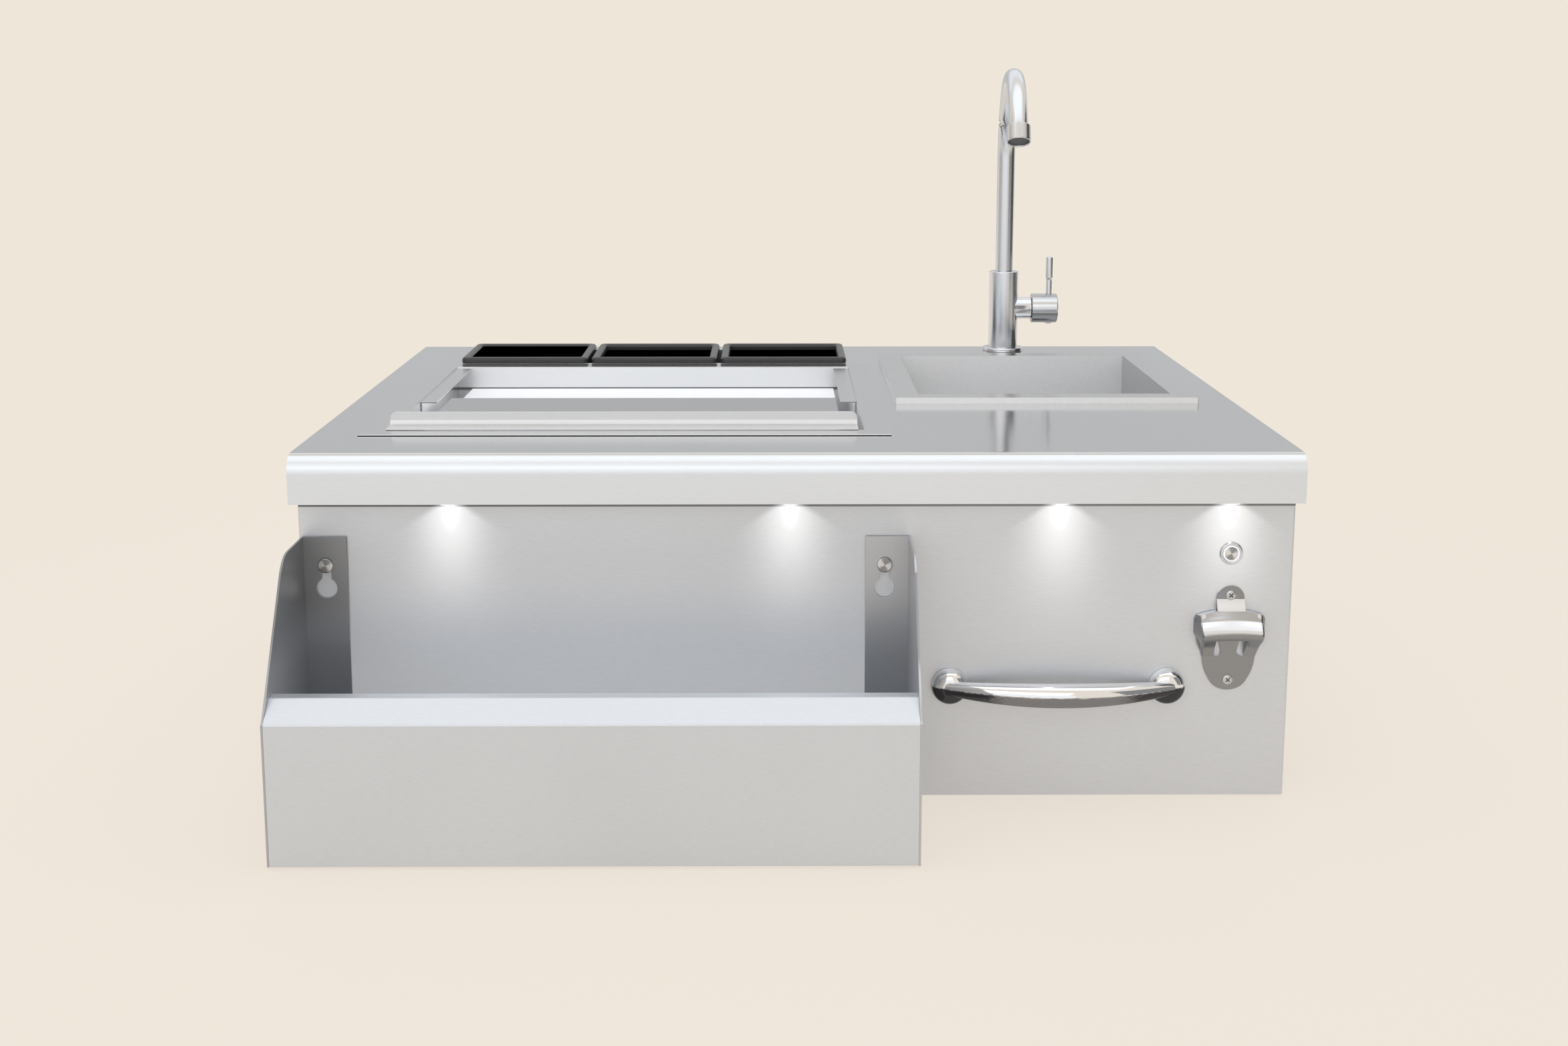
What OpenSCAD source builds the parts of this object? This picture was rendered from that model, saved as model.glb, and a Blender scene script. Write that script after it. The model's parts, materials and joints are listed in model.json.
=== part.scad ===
// Bar sink with ice bin: a drop-in stainless beverage centre.
// Millimetres. +Z is up and -Y is the front, where the user stands. The origin lies under the body, at the
// middle of the deck's width and depth. Places on the left are measured from the deck's left edge, places
// on the right from its right edge, depths from its front edge and heights from its top.

/* [Deck] */
// Width of the deck
deck_w = 762; // [745:1:960]
// Depth of the deck, front to back
deck_d = 610; // [605:1:760]
// Height of the deck above the underside of the body
deck_z = 272; // [262:1:360]
// Thickness of the deck sheet
deck_t = 1.5; // [1:0.1:2]
// Height of the front apron and the side folds
apron_h = 37.2; // [34:0.1:44]
// Radius of the rounded front edge
bullnose_r = 14.5; // [6:0.5:18]

/* [Body] */
// Thickness of the body's sheet
body_t = 1.5; // [1:0.1:2]
// How far the body stands in from the deck's sides and back
body_inset = 3; // [2.5:0.1:6]
// How far the front panel stands back from the apron
body_setback = 16; // [15:0.5:30]
// Outer radius of the front panel's upright corners
body_corner_r = 2.5; // [2:0.1:6]

/* [Lights and switch] */
// Distance of the first light from the left edge
light_1 = 118.5; // [60:0.1:200]
// Distance of the second light from the left edge
light_2 = 375.3; // [260:0.1:420]
// Distance of the third light from the right edge
light_3 = 182.3; // [150:0.1:240]
// Distance of the fourth light from the right edge
light_4 = 53.6; // [30:0.1:90]
// Diameter of a light's housing
light_d = 11.6; // [8:0.1:12]
// Distance of the switch from the right edge
switch_right = 51; // [40:1:90]
// Depth of the switch below the deck
switch_down = 79; // [60:1:90]
// Diameter of the switch's bezel
switch_d = 18; // [17:0.1:24]
// Travel of the push button
switch_travel = 1.5; // [0.8:0.1:2]

/* [Bottle opener] */
// Height of the bottle opener
opener_h = 82.8; // [76:0.1:100]
// Width of the opener's hood
opener_w = 52; // [44:0.5:60]
// How far the hood stands out from the panel
opener_out = 20; // [16:0.5:26]
// Depth of the opener's top below the deck
opener_down = 103.8; // [92:0.1:110]

/* [Towel bar] */
// Distance between the towel bar's two roses
towel_span = 166.8; // [120:0.1:182]
// Distance of the right-hand rose from the right edge
towel_right = 97.1; // [88:0.1:110]
// Depth of the towel bar below the deck
towel_down = 183; // [175:1:220]
// Diameter of a rose
rose_d = 27.7; // [24:0.1:34]
// How far the middle of the bar stands off the panel
towel_out = 28.5; // [24:0.5:45]
// Diameter of the bar at its middle
towel_mid_d = 18.6; // [12:0.1:22]
// Diameter of the bar at its ends
towel_end_d = 11; // [8:0.1:14]

/* [Bottle rail] */
// Length of the bottle rail
rail_w = 461.2; // [380:0.1:480]
// Distance of the rail's left end from the deck's left edge
rail_left = 5.5; // [2:0.1:20]
// Depth of the rail, from the front panel
rail_d = 142.7; // [110:0.1:180]
// Height of the rail's upright front
rail_front_h = 104.5; // [70:0.5:120]
// Height of the rail's ends
rail_end_h = 206; // [195:1:215]
// Thickness of the rail's sheet
rail_t = 1.5; // [1:0.1:2]
// Depth of the studs below the deck
stud_down = 86.8; // [80:0.1:95]
// Height of the studs above the rail's underside
stud_up = 184.2; // [172:0.1:188]
// How far the rail lifts off its studs
rail_lift = 18; // [14:0.5:22]

/* [Ice bin] */
// Width of the bin's mouth
bin_w = 378; // [300:1:384]
// Depth of the bin's mouth, front to back
bin_d = 350.6; // [290:0.1:352]
// Distance of the mouth from the deck's left edge
bin_left = 57.1; // [55:0.1:80]
// Distance of the mouth from the deck's front edge
bin_front = 103; // [100:0.1:130]
// Depth of the bin's floor below the deck
bin_depth = 196; // [140:1:200]
// Width of the bin's flange on the deck
bin_flange = 20.6; // [12:0.1:20.8]
// Thickness of the bin's sheet
bin_t = 1.2; // [0.8:0.1:1.5]
// Height of the collar above the liner
collar_h = 20; // [16:0.5:26]
// Thickness of the insulation round the bin
insulation_t = 21; // [10:1:22]

/* [Ice bin lid] */
// Depth of the lid behind its handle
lid_d = 151; // [110:1:160]
// How far the lid's flat top stands in from the mouth's sides, on average
lid_in = 20.2; // [18.5:0.1:40]
// Height of the lid's handle above the deck
handle_h = 12.8; // [9:0.1:20]
// Thickness of the lid's sheet
lid_t = 1.2; // [1:0.1:1.5]
// Length of the upper lips of the guides
guide_l = 205; // [150:1:215]
// Width of a guide's lip
guide_w = 14; // [10:0.5:14.5]

/* [Condiment pans] */
// Width over a pan's rim
pan_w = 123.5; // [90:0.1:125]
// Depth over a pan's rim, front to back
pan_d = 107; // [90:0.5:110]
// Gap between the rims of two pans
pan_gap = 3.3; // [1.5:0.1:6]
// Depth of a pan below the deck
pan_depth = 98; // [60:1:110]
// Height of a pan's rim above the deck
pan_rim_h = 7.4; // [5:0.1:12]
// Width of the rim alone, from its edge to the inside of the pan
pan_rim_w = 8; // [7:0.1:12]
// Thickness of a pan's walls
pan_t = 2.2; // [1.5:0.1:3]

/* [Sink] */
// Width over the sink's rim
sink_w = 262.2; // [215:0.1:270]
// Depth over the sink's rim, front to back
sink_d = 282.8; // [240:0.1:300]
// Distance of the rim from the deck's right edge
sink_right = 31.8; // [24:0.1:45]
// Distance of the rim from the deck's front edge
sink_front = 235.9; // [200:0.1:240]
// Width of the sink's rim
sink_rim_w = 21; // [16:0.1:28]
// Height of the sink's rim above the deck
sink_rim_h = 5.7; // [3:0.1:9]
// Depth of the bowl below its rim
sink_depth = 150; // [110:1:160]
// Thickness of the bowl's sheet
sink_t = 1.2; // [1:0.1:2]
// Diameter of the drain cup's bore
drain_d = 78; // [70:0.5:84]
// Diameter of the drain's tailpiece
tail_d = 38; // [32:0.1:40]

/* [Tap] */
// Distance of the tap's axis behind the sink's rim
tap_back = 63.7; // [45:0.1:66]
// Diameter of the tap's base flange
tap_flange_d = 41; // [38:0.5:50]
// Diameter of the tap's body
tap_body_d = 29.8; // [28:0.1:34]
// Height of the tap's body above the deck
tap_body_h = 81.8; // [75:0.1:110]
// Diameter of the spout's tube
spout_d = 17.6; // [14.5:0.1:18]
// Height above the deck at which the spout begins to bend
spout_rise = 197; // [150:1:240]
// Radius of the spout's bend
spout_bend_r = 80; // [60:1:90]
// Angle through which the spout bends
spout_bend = 154; // [120:1:170]
// Angle to which the spout is turned at rest
spout_turn = -2.6; // [-30:0.1:30]
// Height of the side neck above the deck
neck_up = 43.5; // [34:0.5:50]
// Diameter of the side neck
neck_d = 22.2; // [20:0.1:26]
// Distance of the hub's outer end from the tap's axis
hub_out = 54.6; // [50:0.1:64]
// Diameter of the hub
hub_d = 29.5; // [26:0.1:34]
// Height of the lever above the hub
lever_h = 37.7; // [25:0.1:60]

/* [Hidden] */
$fn = 64;

// Clearances
fit = 0.05;       // radial, round a shaft that turns in its bore
gap = 0.3;        // between pieces that move past each other
hole_gap = 0.2;   // radial, round a bolt in its hole
cut_gap = 3;      // between the deck's cut-outs and what drops through them
over = 1;         // how far a cut runs past the face that it cuts

// Edges of the deck and the body
left_x = -deck_w / 2;
right_x = deck_w / 2;
front_y = -deck_d / 2;
back_y = deck_d / 2;
apron_z = deck_z - apron_h;
under_z = deck_z - deck_t;
body_right = right_x - body_inset;
body_front = front_y + body_setback;
body_back = back_y - body_inset;
panel_in = body_front + body_t;
return_d = 20;    // depth of the front panel's folded sides
joggle_w = 18;    // width of the strip that joins a side panel to that fold
tray_h = 12;      // height of the bottom panel's folds
seam = 0.4;       // seam between sheets that are folded or welded up to each other

// Side fixing holes
fix_d = 5;
fix_span_y = 400;
fix_span_z = 120;
fix_z = 110;

// Lights
light_y = (front_y + body_front) / 2;
light_flange_d = 14;
light_flange_t = 0.8;
light_h = 13;
lens_d = 9;
lens_h = 2.4;
lens_proud = 0.6;
light_xs = [left_x + light_1, left_x + light_2, right_x - light_3, right_x - light_4];

// Switch
switch_x = right_x - switch_right;
switch_z = deck_z - switch_down;
switch_barrel_d = 15.8;
switch_barrel_l = 24;
switch_proud = 2;
ring_out_d = 12.5;
ring_in_d = 10.2;
ring_t = 3;
button_d = ring_in_d - 2 * 0.15;
button_stem_d = 5;
switch_nut_t = 4;

// Light driver and wiring
driver_size = [90, 30, 25];
driver_x = switch_x - 150;
driver_z = switch_z - 10;
wire_d = 4;
wire_bend = 8;
wire_z = apron_z + light_h + wire_d / 2;
wire_y = panel_in + 15;
grommet_d = 8;
inlet_x = body_right - 38;
inlet_z = 60;
inlet_d = 11.8;
plug_bore_d = 5.6;

// Bottle opener
opener_x = right_x - 50.3;
opener_top = deck_z - opener_down;
opener_bottom = opener_top - opener_h;
opener_t = 2;
opener_tab_w = 21;
opener_tab_h = 21;
opener_lip = 45;          // depth of the hood's lip below the top
opener_foot_r = 13;
opener_screw_z = [opener_top - 7.7, opener_bottom + 8.2];
screw_d = 4;
screw_head_d = 7.8;

// Towel bar
towel_x = [right_x - towel_right - towel_span, right_x - towel_right];
towel_z = deck_z - towel_down;
rose_out = 12.5;
rose_edge_r = 9;
towel_end_out = 10.2;
towel_bolt_d = 5;
bar_rings = 28;
bar_sides = 24;

// Bottle rail
rail_x0 = left_x + rail_left;
rail_x1 = rail_x0 + rail_w;
rail_back = body_front - gap - 1;
rail_front = rail_back - rail_d;
stud_z = deck_z - stud_down;
rail_low = stud_z - stud_up; // the rail hangs on its studs
rail_lip_d = 20;
rail_lip_h = 13.6;
rail_front_z = rail_low + rail_front_h;
rail_top = rail_front_z + rail_lip_h;
rail_end_z = rail_low + rail_end_h;
rail_hem = 10;
rail_back_h = 40;
rail_flange = 34;
rail_slope = 52.5;        // angle of the ends' sloping edge
rail_corner_r = 30;
stud_in = 18;             // distance of a stud from the rail's end
stud_x = [rail_x0 + stud_in, rail_x1 - stud_in - 1.5];
stud_shank_d = 6;
stud_neck_d = 7;
stud_head_d = 11.6;
stud_head_t = 2.4;
slot_w = stud_neck_d + 2 * 0.35;
keyhole_d = 16;
nut_t = 5;

// Ice bin
bin_x0 = left_x + bin_left;
bin_x1 = bin_x0 + bin_w;
bin_y0 = front_y + bin_front;
bin_y1 = bin_y0 + bin_d;
bin_top = deck_z + bin_t;
liner_top = deck_z - collar_h;
bin_floor = deck_z - bin_depth;
jacket_t = 1;
jacket_out = bin_t + insulation_t + jacket_t;
ledge_t = 1.2;
ledge_w = 14;
guide_t = 1.2;
guide_top = deck_z + gap;

// Lid
handle_y = bin_y0 + 18.5;
handle_x0 = bin_x0 - 2.1;
handle_x1 = bin_x1 - 4.6;
handle_t = 1.5;
handle_base = bin_top + gap;
handle_bend_r = 4;
handle_corner_r = 5.3;
lid_shift = 2.8;          // how far the flat top stands to the right of the middle
lid_x0 = bin_x0 + lid_in + lid_shift;
lid_x1 = bin_x1 - lid_in + lid_shift;
lid_top = deck_z - 0.2;
lid_foot = liner_top + gap;
lid_back = handle_y + lid_d;
lid_foot_gap = 1.4;       // between the lid's feet and the guides' upright legs
lid_slide = bin_y1 - lid_back - 4;

// Ice drain
ice_drain_x = (bin_x0 + bin_x1) / 2;
ice_drain_y = bin_y0 + 120;
ice_drain_flange_d = 60;
ice_drain_body_d = 34;
ice_drain_bore_d = 22;
ice_tail_d = 25.4;
tail_end = 6;
ice_hole_d = 60;
plug_d = 30;
plug_seat = 8;

// Condiment pans
pan_n = 3;
pan_pitch = pan_w + pan_gap;
pans_w = pan_n * pan_w + (pan_n - 1) * pan_gap;
pans_x0 = (bin_x0 + bin_x1) / 2 - pans_w / 2;
pans_y0 = bin_y1 + bin_flange + 1.2;
pans_y1 = pans_y0 + pan_d;
pan_corner_r = 6;
tray_flange_t = 1.2;
tray_lip = 3.3;
tray_t = 1;
pan_play = 1;             // between a pan's walls and the tray
pan_shoulder = pan_rim_w - pan_t;
tray_in = pan_shoulder - pan_play - tray_t;
tray_x0 = pans_x0 + tray_in;
tray_x1 = pans_x0 + pans_w - tray_in;
tray_y0 = pans_y0 + tray_in;
tray_y1 = pans_y1 - tray_in;
tray_depth = pan_depth + 8;

// Sink
sink_x1 = right_x - sink_right;
sink_x0 = sink_x1 - sink_w;
sink_y0 = front_y + sink_front;
sink_y1 = sink_y0 + sink_d;
sink_top = deck_z + sink_rim_h;
sink_floor = sink_top - sink_depth;
sink_corner_r = 1.5;
bowl_x0 = sink_x0 + sink_rim_w;
bowl_x1 = sink_x1 - sink_rim_w;
bowl_y0 = sink_y0 + sink_rim_w;
bowl_y1 = sink_y1 - sink_rim_w;
sink_mid = [(sink_x0 + sink_x1) / 2, (sink_y0 + sink_y1) / 2];
seal_w = 8;
clip_w = 24;
clip_h = 14;
clip_reach = 12;

// Sink drain
drain_t = 1.5;
drain_flange_d = drain_d + 32;
drain_cup_h = 48;
drain_neck_h = 12;
tail_t = 2;
tail_spigot_d = tail_d - 1.6; // the turned-down end that goes up into the cup's neck
drain_gasket_t = 3;
drain_nut_h = 9;
basket_play = 0.8;
basket_t = 1;
basket_h = 30;

// Tap
tap_x = sink_mid.x + 0.8;
tap_y = sink_y1 + tap_back;
tap_flange_h = 4;
shank_d = 27;
shank_l = 42;
tap_hole_d = 30;
inlet_pin_d = 20.6;
inlet_pin_l = 16;
spout_wall = 1.2;
spout_in = 28;            // how far the spout reaches into the body
hose_hole_d = 42;         // hole in the bottom panel under the tap, for its supply hoses
spigot_d = spout_d - 1;   // the turned-down end that the collar is screwed on
spigot_bore = spout_d - 2 * spout_wall - 0.4;
spigot_l = 9;
collar_d = spout_d + 5.2;
collar_l = 16.5;
aerator_d = spout_d + 1.4;
aerator_in = 1.6;
tap_bore_d = 14;
neck_z = deck_z + neck_up;
neck_out = 28;
hub_in = neck_out + gap;
hub_stem_d = 8;
cartridge_d = 16;
lever_out = 46.4;
lever_rod_d = 5.9;
lever_rod_h = 14;
lever_grip_d = 7.3;
cap_d = 9;
cap_proud = 2;
hub_socket = 3.5;         // depth of the hub's sockets for the lever and the cap screw
tap_gasket_t = 3;
tap_nut_h = 8;

// ---- Shapes that repeat ----

// A block between two opposite corners.
module block(low, high) {
    translate(low) cube(high - low);
}

// A flat outline in the Y-Z plane, pulled along X.
module along_x(x0, x1) {
    translate([x0, 0, 0]) rotate([90, 0, 90]) linear_extrude(x1 - x0) children();
}

// A flat outline in the X-Z plane, pulled from y0 back to y1.
module along_y(y0, y1) {
    translate([0, y1, 0]) rotate([90, 0, 0]) linear_extrude(y1 - y0) children();
}

// A flat outline in the X-Y plane, pulled up from z0 to z1.
module along_z(z0, z1) {
    translate([0, 0, z0]) linear_extrude(z1 - z0) children();
}

// A round bar or a bore whose axis runs front to back.
module bar_y(x, z, d, y0, y1) {
    translate([x, y1, z]) rotate([90, 0, 0]) cylinder(h = y1 - y0, d = d);
}

// A round bar or a bore that stands upright.
module bar_z(x, y, d, z0, z1) {
    translate([x, y, z0]) cylinder(h = z1 - z0, d = d);
}

// A rectangle between two corners.
module rect(low, high) {
    translate(low) square(high - low);
}

// A rectangle with round corners.
module round_rect(low, high, r) {
    rect([low.x + r, low.y], [high.x - r, high.y]);
    rect([low.x, low.y + r], [high.x, high.y - r]);
    for (x = [low.x + r, high.x - r], y = [low.y + r, high.y - r])
        translate([x, y]) circle(r);
}

// An upright tub, open at the top: walls and a floor of thickness t inside the given outline.
module tub(low, high, z0, z1, t) {
    difference() {
        block([low.x, low.y, z0], [high.x, high.y, z1]);
        block([low.x + t, low.y + t, z0 + t], [high.x - t, high.y - t, z1 + over]);
    }
}

// A straight length of wire and the quarter bend at its end. Runs lie along X, Y or Z.
module wire_run(a, b, d) {
    way = (b - a) / norm(b - a);
    side = [way.y, way.z, way.x];
    up = cross(way, side);
    multmatrix([
        [side.x, up.x, way.x, a.x],
        [side.y, up.y, way.y, a.y],
        [side.z, up.z, way.z, a.z],
        [0, 0, 0, 1]
    ]) cylinder(h = norm(b - a), d = d);
}

module wire_bend_at(corner, way_in, way_out, d) {
    axis = cross(-way_out, way_in);
    centre = corner - wire_bend * way_in + wire_bend * way_out;
    multmatrix([
        [-way_out.x, way_in.x, axis.x, centre.x],
        [-way_out.y, way_in.y, axis.y, centre.y],
        [-way_out.z, way_in.z, axis.z, centre.z],
        [0, 0, 0, 1]
    ]) rotate_extrude(angle = 90) translate([wire_bend, 0]) circle(d = d);
}

module wire(points, d) {
    n = len(points);
    ways = [for (i = [0 : n - 2]) (points[i + 1] - points[i]) / norm(points[i + 1] - points[i])];
    for (i = [0 : n - 2])
        wire_run(
            points[i] + (i == 0 ? 0 : wire_bend) * ways[i],
            points[i + 1] - (i == n - 2 ? 0 : wire_bend) * ways[i],
            d
        );
    for (i = [1 : 1 : n - 2])
        wire_bend_at(points[i], ways[i - 1], ways[i], d);
}

// ---- Deck and body ----

// The deck's side view, drawn as Y and Z. inset gives the sheet's inner face.
module deck_outline(inset) {
    r = bullnose_r - inset;
    y0 = front_y + inset;
    y1 = back_y - inset;
    z0 = apron_z - inset;
    z1 = deck_z - inset;
    rect([y0 + r, z0], [y1, z1]);
    rect([y0, z0], [y0 + r + over, z1 - r]);
    translate([y0 + r, z1 - r]) circle(r);
}

module deck_cuts() {
    low = apron_z + over;
    high = deck_z + over;
    block(
        [bin_x0 - bin_t - cut_gap, bin_y0 - bin_t - cut_gap, low],
        [bin_x1 + bin_t + cut_gap, bin_y1 + bin_t + cut_gap, high]
    );
    block([tray_x0 - over, tray_y0 - over, low], [tray_x1 + over, tray_y1 + over, high]);
    block(
        [bowl_x0 - sink_t - cut_gap, bowl_y0 - sink_t - cut_gap, low],
        [bowl_x1 + sink_t + cut_gap, bowl_y1 + sink_t + cut_gap, high]
    );
    bar_z(tap_x, tap_y, tap_hole_d, low, high);
}

module deck() color([0.74, 0.75, 0.75]) {
    difference() {
        along_x(left_x, right_x) deck_outline(0);
        along_x(left_x + deck_t, right_x - deck_t) deck_outline(deck_t);
        deck_cuts();
    }
    // The return under the apron, which carries the lights
    difference() {
        block(
            [left_x + deck_t, front_y + deck_t, apron_z],
            [right_x - deck_t, body_front - gap, apron_z + deck_t]
        );
        for (x = light_xs)
            bar_z(x, light_y, light_d + 2 * hole_gap, apron_z - over, apron_z + deck_t + over);
    }
}

module front_panel_plan() {
    fold_y = body_front + return_d;
    difference() {
        union() {
            rect([-body_right + body_corner_r, body_front], [body_right - body_corner_r, fold_y]);
            rect([-body_right, body_front + body_corner_r], [body_right, fold_y]);
            for (side = [-1, 1])
                translate([side * (body_right - body_corner_r), body_front + body_corner_r])
                    circle(body_corner_r);
        }
        rect([-body_right + body_t, panel_in], [body_right - body_t, fold_y + over]);
    }
}

module front_panel() color([0.78, 0.79, 0.79]) {
    y0 = body_front - over;
    y1 = panel_in + over;
    difference() {
        along_z(0, under_z) front_panel_plan();
        bar_y(switch_x, switch_z, switch_barrel_d + 2 * hole_gap, y0, y1);
        for (z = opener_screw_z) bar_y(opener_x, z, screw_d + 2 * fit, y0, y1);
        for (x = towel_x) bar_y(x, towel_z, towel_bolt_d + 2 * hole_gap, y0, y1);
        for (x = stud_x) bar_y(x, stud_z, stud_shank_d + 2 * fit, y0, y1);
        bar_y(driver_x, wire_z, grommet_d, y0, y1);
    }
}

// A side panel, with the strip that lies behind the front panel's fold. side is -1 on the left.
module side_panel(side) {
    outer = side * body_right;
    inner = outer - side * body_t;
    strip = inner - side * body_t;
    y0 = body_front + return_d + seam;
    difference() {
        union() {
            block(
                [min(outer, inner), y0, 0],
                [max(outer, inner), body_back - body_t, under_z]
            );
            block(
                [min(inner, strip), y0 - joggle_w, body_t],
                [max(inner, strip), y0 + joggle_w, under_z]
            );
        }
        for (y = [-1, 1], z = [-1, 1])
            translate([outer - 5 * side, y * fix_span_y / 2, fix_z + z * fix_span_z / 2])
                rotate([0, 90, 0]) cylinder(h = 20, d = fix_d, center = true);
    }
}

module left_side_panel() color([0.72, 0.73, 0.73]) side_panel(-1);

module right_side_panel() color([0.72, 0.73, 0.73]) side_panel(1);

module back_panel() color([0.7, 0.71, 0.71]) {
    difference() {
        block([-body_right, body_back - body_t, 0], [body_right, body_back, under_z]);
        bar_y(inlet_x, inlet_z, inlet_d + 2 * fit, body_back - body_t - over, body_back + over);
    }
}

module bottom_panel() color([0.7, 0.71, 0.71]) {
    x1 = body_right - body_t;
    y1 = body_back - body_t;
    difference() {
        union() {
            block([-x1, panel_in, 0], [x1, y1, body_t]);
            block([-x1 + body_t, panel_in, body_t], [x1 - body_t, panel_in + body_t, tray_h]);
            block([-x1 + body_t, y1 - body_t, body_t], [x1 - body_t, y1, tray_h]);
        }
        bar_z(sink_mid.x, sink_mid.y, tail_d + 24, -over, body_t + over);
        bar_z(ice_drain_x, ice_drain_y, ice_hole_d, -over, body_t + over);
        bar_z(tap_x, tap_y, hose_hole_d, -over, body_t + over);
    }
}

// A brace is an upside-down channel, open downwards.
module brace(low, high) {
    t = body_t;
    long_x = high.x - low.x > high.y - low.y;
    z0 = under_z - 20;
    difference() {
        block([low.x, low.y, z0], [high.x, high.y, under_z]);
        if (long_x)
            block([low.x - over, low.y + t, z0 - over], [high.x + over, high.y - t, under_z - t]);
        else
            block([low.x + t, low.y - over, z0 - over], [high.x - t, high.y + over, under_z - t]);
    }
}

module deck_braces() color([0.6, 0.61, 0.62]) {
    mid_x = max(bin_x1 + jacket_out, tray_x1) + 1;
    mid_w = 14;
    cross_y = panel_in + 26;
    side_x = body_right - 2 * body_t - over;
    brace([mid_x, panel_in, 0], [mid_x + mid_w, body_back - body_t, 0]);
    brace([-side_x, cross_y, 0], [mid_x - seam, cross_y + 20, 0]);
    brace([mid_x + mid_w + seam, cross_y, 0], [side_x, cross_y + 20, 0]);
}

// ---- Lights, switch and wiring ----

module light_housings() color([0.6, 0.61, 0.62]) {
    for (x = light_xs) difference() {
        union() {
            bar_z(x, light_y, light_flange_d, apron_z - light_flange_t, apron_z);
            bar_z(x, light_y, light_d, apron_z, apron_z + light_h);
        }
        bar_z(x, light_y, lens_d, apron_z - over - light_flange_t, apron_z - light_flange_t + lens_h);
    }
}

module light_lenses() color([1, 1, 0.97]) {
    for (x = light_xs)
        bar_z(
            x, light_y, lens_d,
            apron_z - light_flange_t - lens_proud, apron_z - light_flange_t + lens_h
        );
}

module light_driver() color([0.12, 0.12, 0.13]) {
    translate([driver_x - driver_size.x / 2, panel_in, driver_z - driver_size.z / 2]) cube(driver_size);
}

// The loom lies on the light housings in the apron. One branch drops to the driver, one lead runs to the
// switch and one comes from the inlet in the back panel.
module light_wiring() color([0.1, 0.1, 0.1]) {
    driver_top = driver_z + driver_size.z / 2;
    driver_back = panel_in + driver_size.y;
    driver_right = driver_x + driver_size.x / 2;
    switch_end = body_front + switch_barrel_l;
    lead_y = max(driver_back, switch_end) + wire_bend + 4;
    wire_run([light_xs[0], light_y, wire_z], [light_xs[3], light_y, wire_z], wire_d);
    wire([[driver_x, light_y, wire_z], [driver_x, wire_y, wire_z], [driver_x, wire_y, driver_top]], 3);
    wire(
        [
            [driver_right - 12, driver_back, switch_z], [driver_right - 12, lead_y, switch_z],
            [switch_x, lead_y, switch_z], [switch_x, switch_end, switch_z]
        ],
        wire_d
    );
    wire(
        [
            [inlet_x, body_back - body_t - 14, inlet_z], [inlet_x, lead_y, inlet_z],
            [driver_x - 20, lead_y, inlet_z], [driver_x - 20, wire_y, inlet_z],
            [driver_x - 20, wire_y, driver_z - driver_size.z / 2]
        ],
        wire_d
    );
}

module power_inlet() color([0.1, 0.1, 0.11]) {
    y = body_back - body_t;
    difference() {
        union() {
            bar_y(inlet_x, inlet_z, inlet_d, y - 14, body_back + 2);
            bar_y(inlet_x, inlet_z, inlet_d + 4, body_back, body_back + 1.5);
            bar_y(inlet_x, inlet_z, inlet_d + 5, y - 3, y);
        }
        bar_y(inlet_x, inlet_z, plug_bore_d, y - 9, body_back + 3);
    }
    bar_y(inlet_x, inlet_z, 2, y - 9, body_back);
}

module switch_housing() color([0.75, 0.76, 0.77]) {
    y0 = body_front - switch_proud;
    y1 = body_front + switch_barrel_l;
    difference() {
        union() {
            bar_y(switch_x, switch_z, switch_d, y0, body_front);
            bar_y(switch_x, switch_z, switch_barrel_d, body_front, y1);
        }
        bar_y(switch_x, switch_z, ring_out_d, y0 - over, y0 + ring_t);
        bar_y(switch_x, switch_z, button_d + 2 * gap, y0, y1 - 6);
    }
}

module switch_ring() color([0.95, 0.97, 1]) {
    y0 = body_front - switch_proud;
    difference() {
        bar_y(switch_x, switch_z, ring_out_d, y0 - 0.2, y0 + ring_t);
        bar_y(switch_x, switch_z, ring_in_d, y0 - over, y0 + ring_t + over);
    }
}

module switch_button() color([0.7, 0.71, 0.72]) {
    y0 = body_front - switch_proud - 0.4;
    y1 = body_front + switch_barrel_l - 6;
    bar_y(switch_x, switch_z, button_d, y0, y0 + 6);
    bar_y(switch_x, switch_z, button_stem_d, y0 + 6, y1 - switch_travel - gap);
}

module hex_ring(d_flats, d_bore, h) {
    difference() {
        cylinder(h = h, d = d_flats / cos(30), $fn = 6);
        translate([0, 0, -over]) cylinder(h = h + 2 * over, d = d_bore);
    }
}

module switch_nut() color([0.7, 0.71, 0.72]) {
    translate([switch_x, panel_in + switch_nut_t, switch_z]) rotate([90, 0, 0])
        hex_ring(21, switch_barrel_d, switch_nut_t);
}

// ---- Bottle opener ----

module opener_plate_outline() {
    lip_z = opener_top - opener_lip;
    w = opener_w / 2;
    tab = opener_tab_w / 2;
    difference() {
        union() {
            rect([-tab, lip_z], [tab, opener_top - tab]);
            translate([0, opener_top - tab]) circle(tab);
            polygon([
                [-w, lip_z + 16], [-w, lip_z], [-w + 5, lip_z - 10], [-w + 6.5, lip_z - 20],
                [-opener_foot_r * 0.85, opener_bottom + opener_foot_r * 0.47],
                [opener_foot_r * 0.85, opener_bottom + opener_foot_r * 0.47],
                [w - 6.5, lip_z - 20], [w - 5, lip_z - 10], [w, lip_z], [w, lip_z + 16]
            ]);
            translate([0, opener_bottom + opener_foot_r]) circle(opener_foot_r);
        }
        for (z = opener_screw_z) translate([0, z]) circle(d = screw_d + 2 * hole_gap);
        for (side = [-1, 1]) {
            translate([side * 11.5, lip_z - 8]) circle(3.5);
            rect([side * 11.5 - 3.5, lip_z - 8], [side * 11.5 + 3.5, lip_z - 1]);
        }
    }
}

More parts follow.
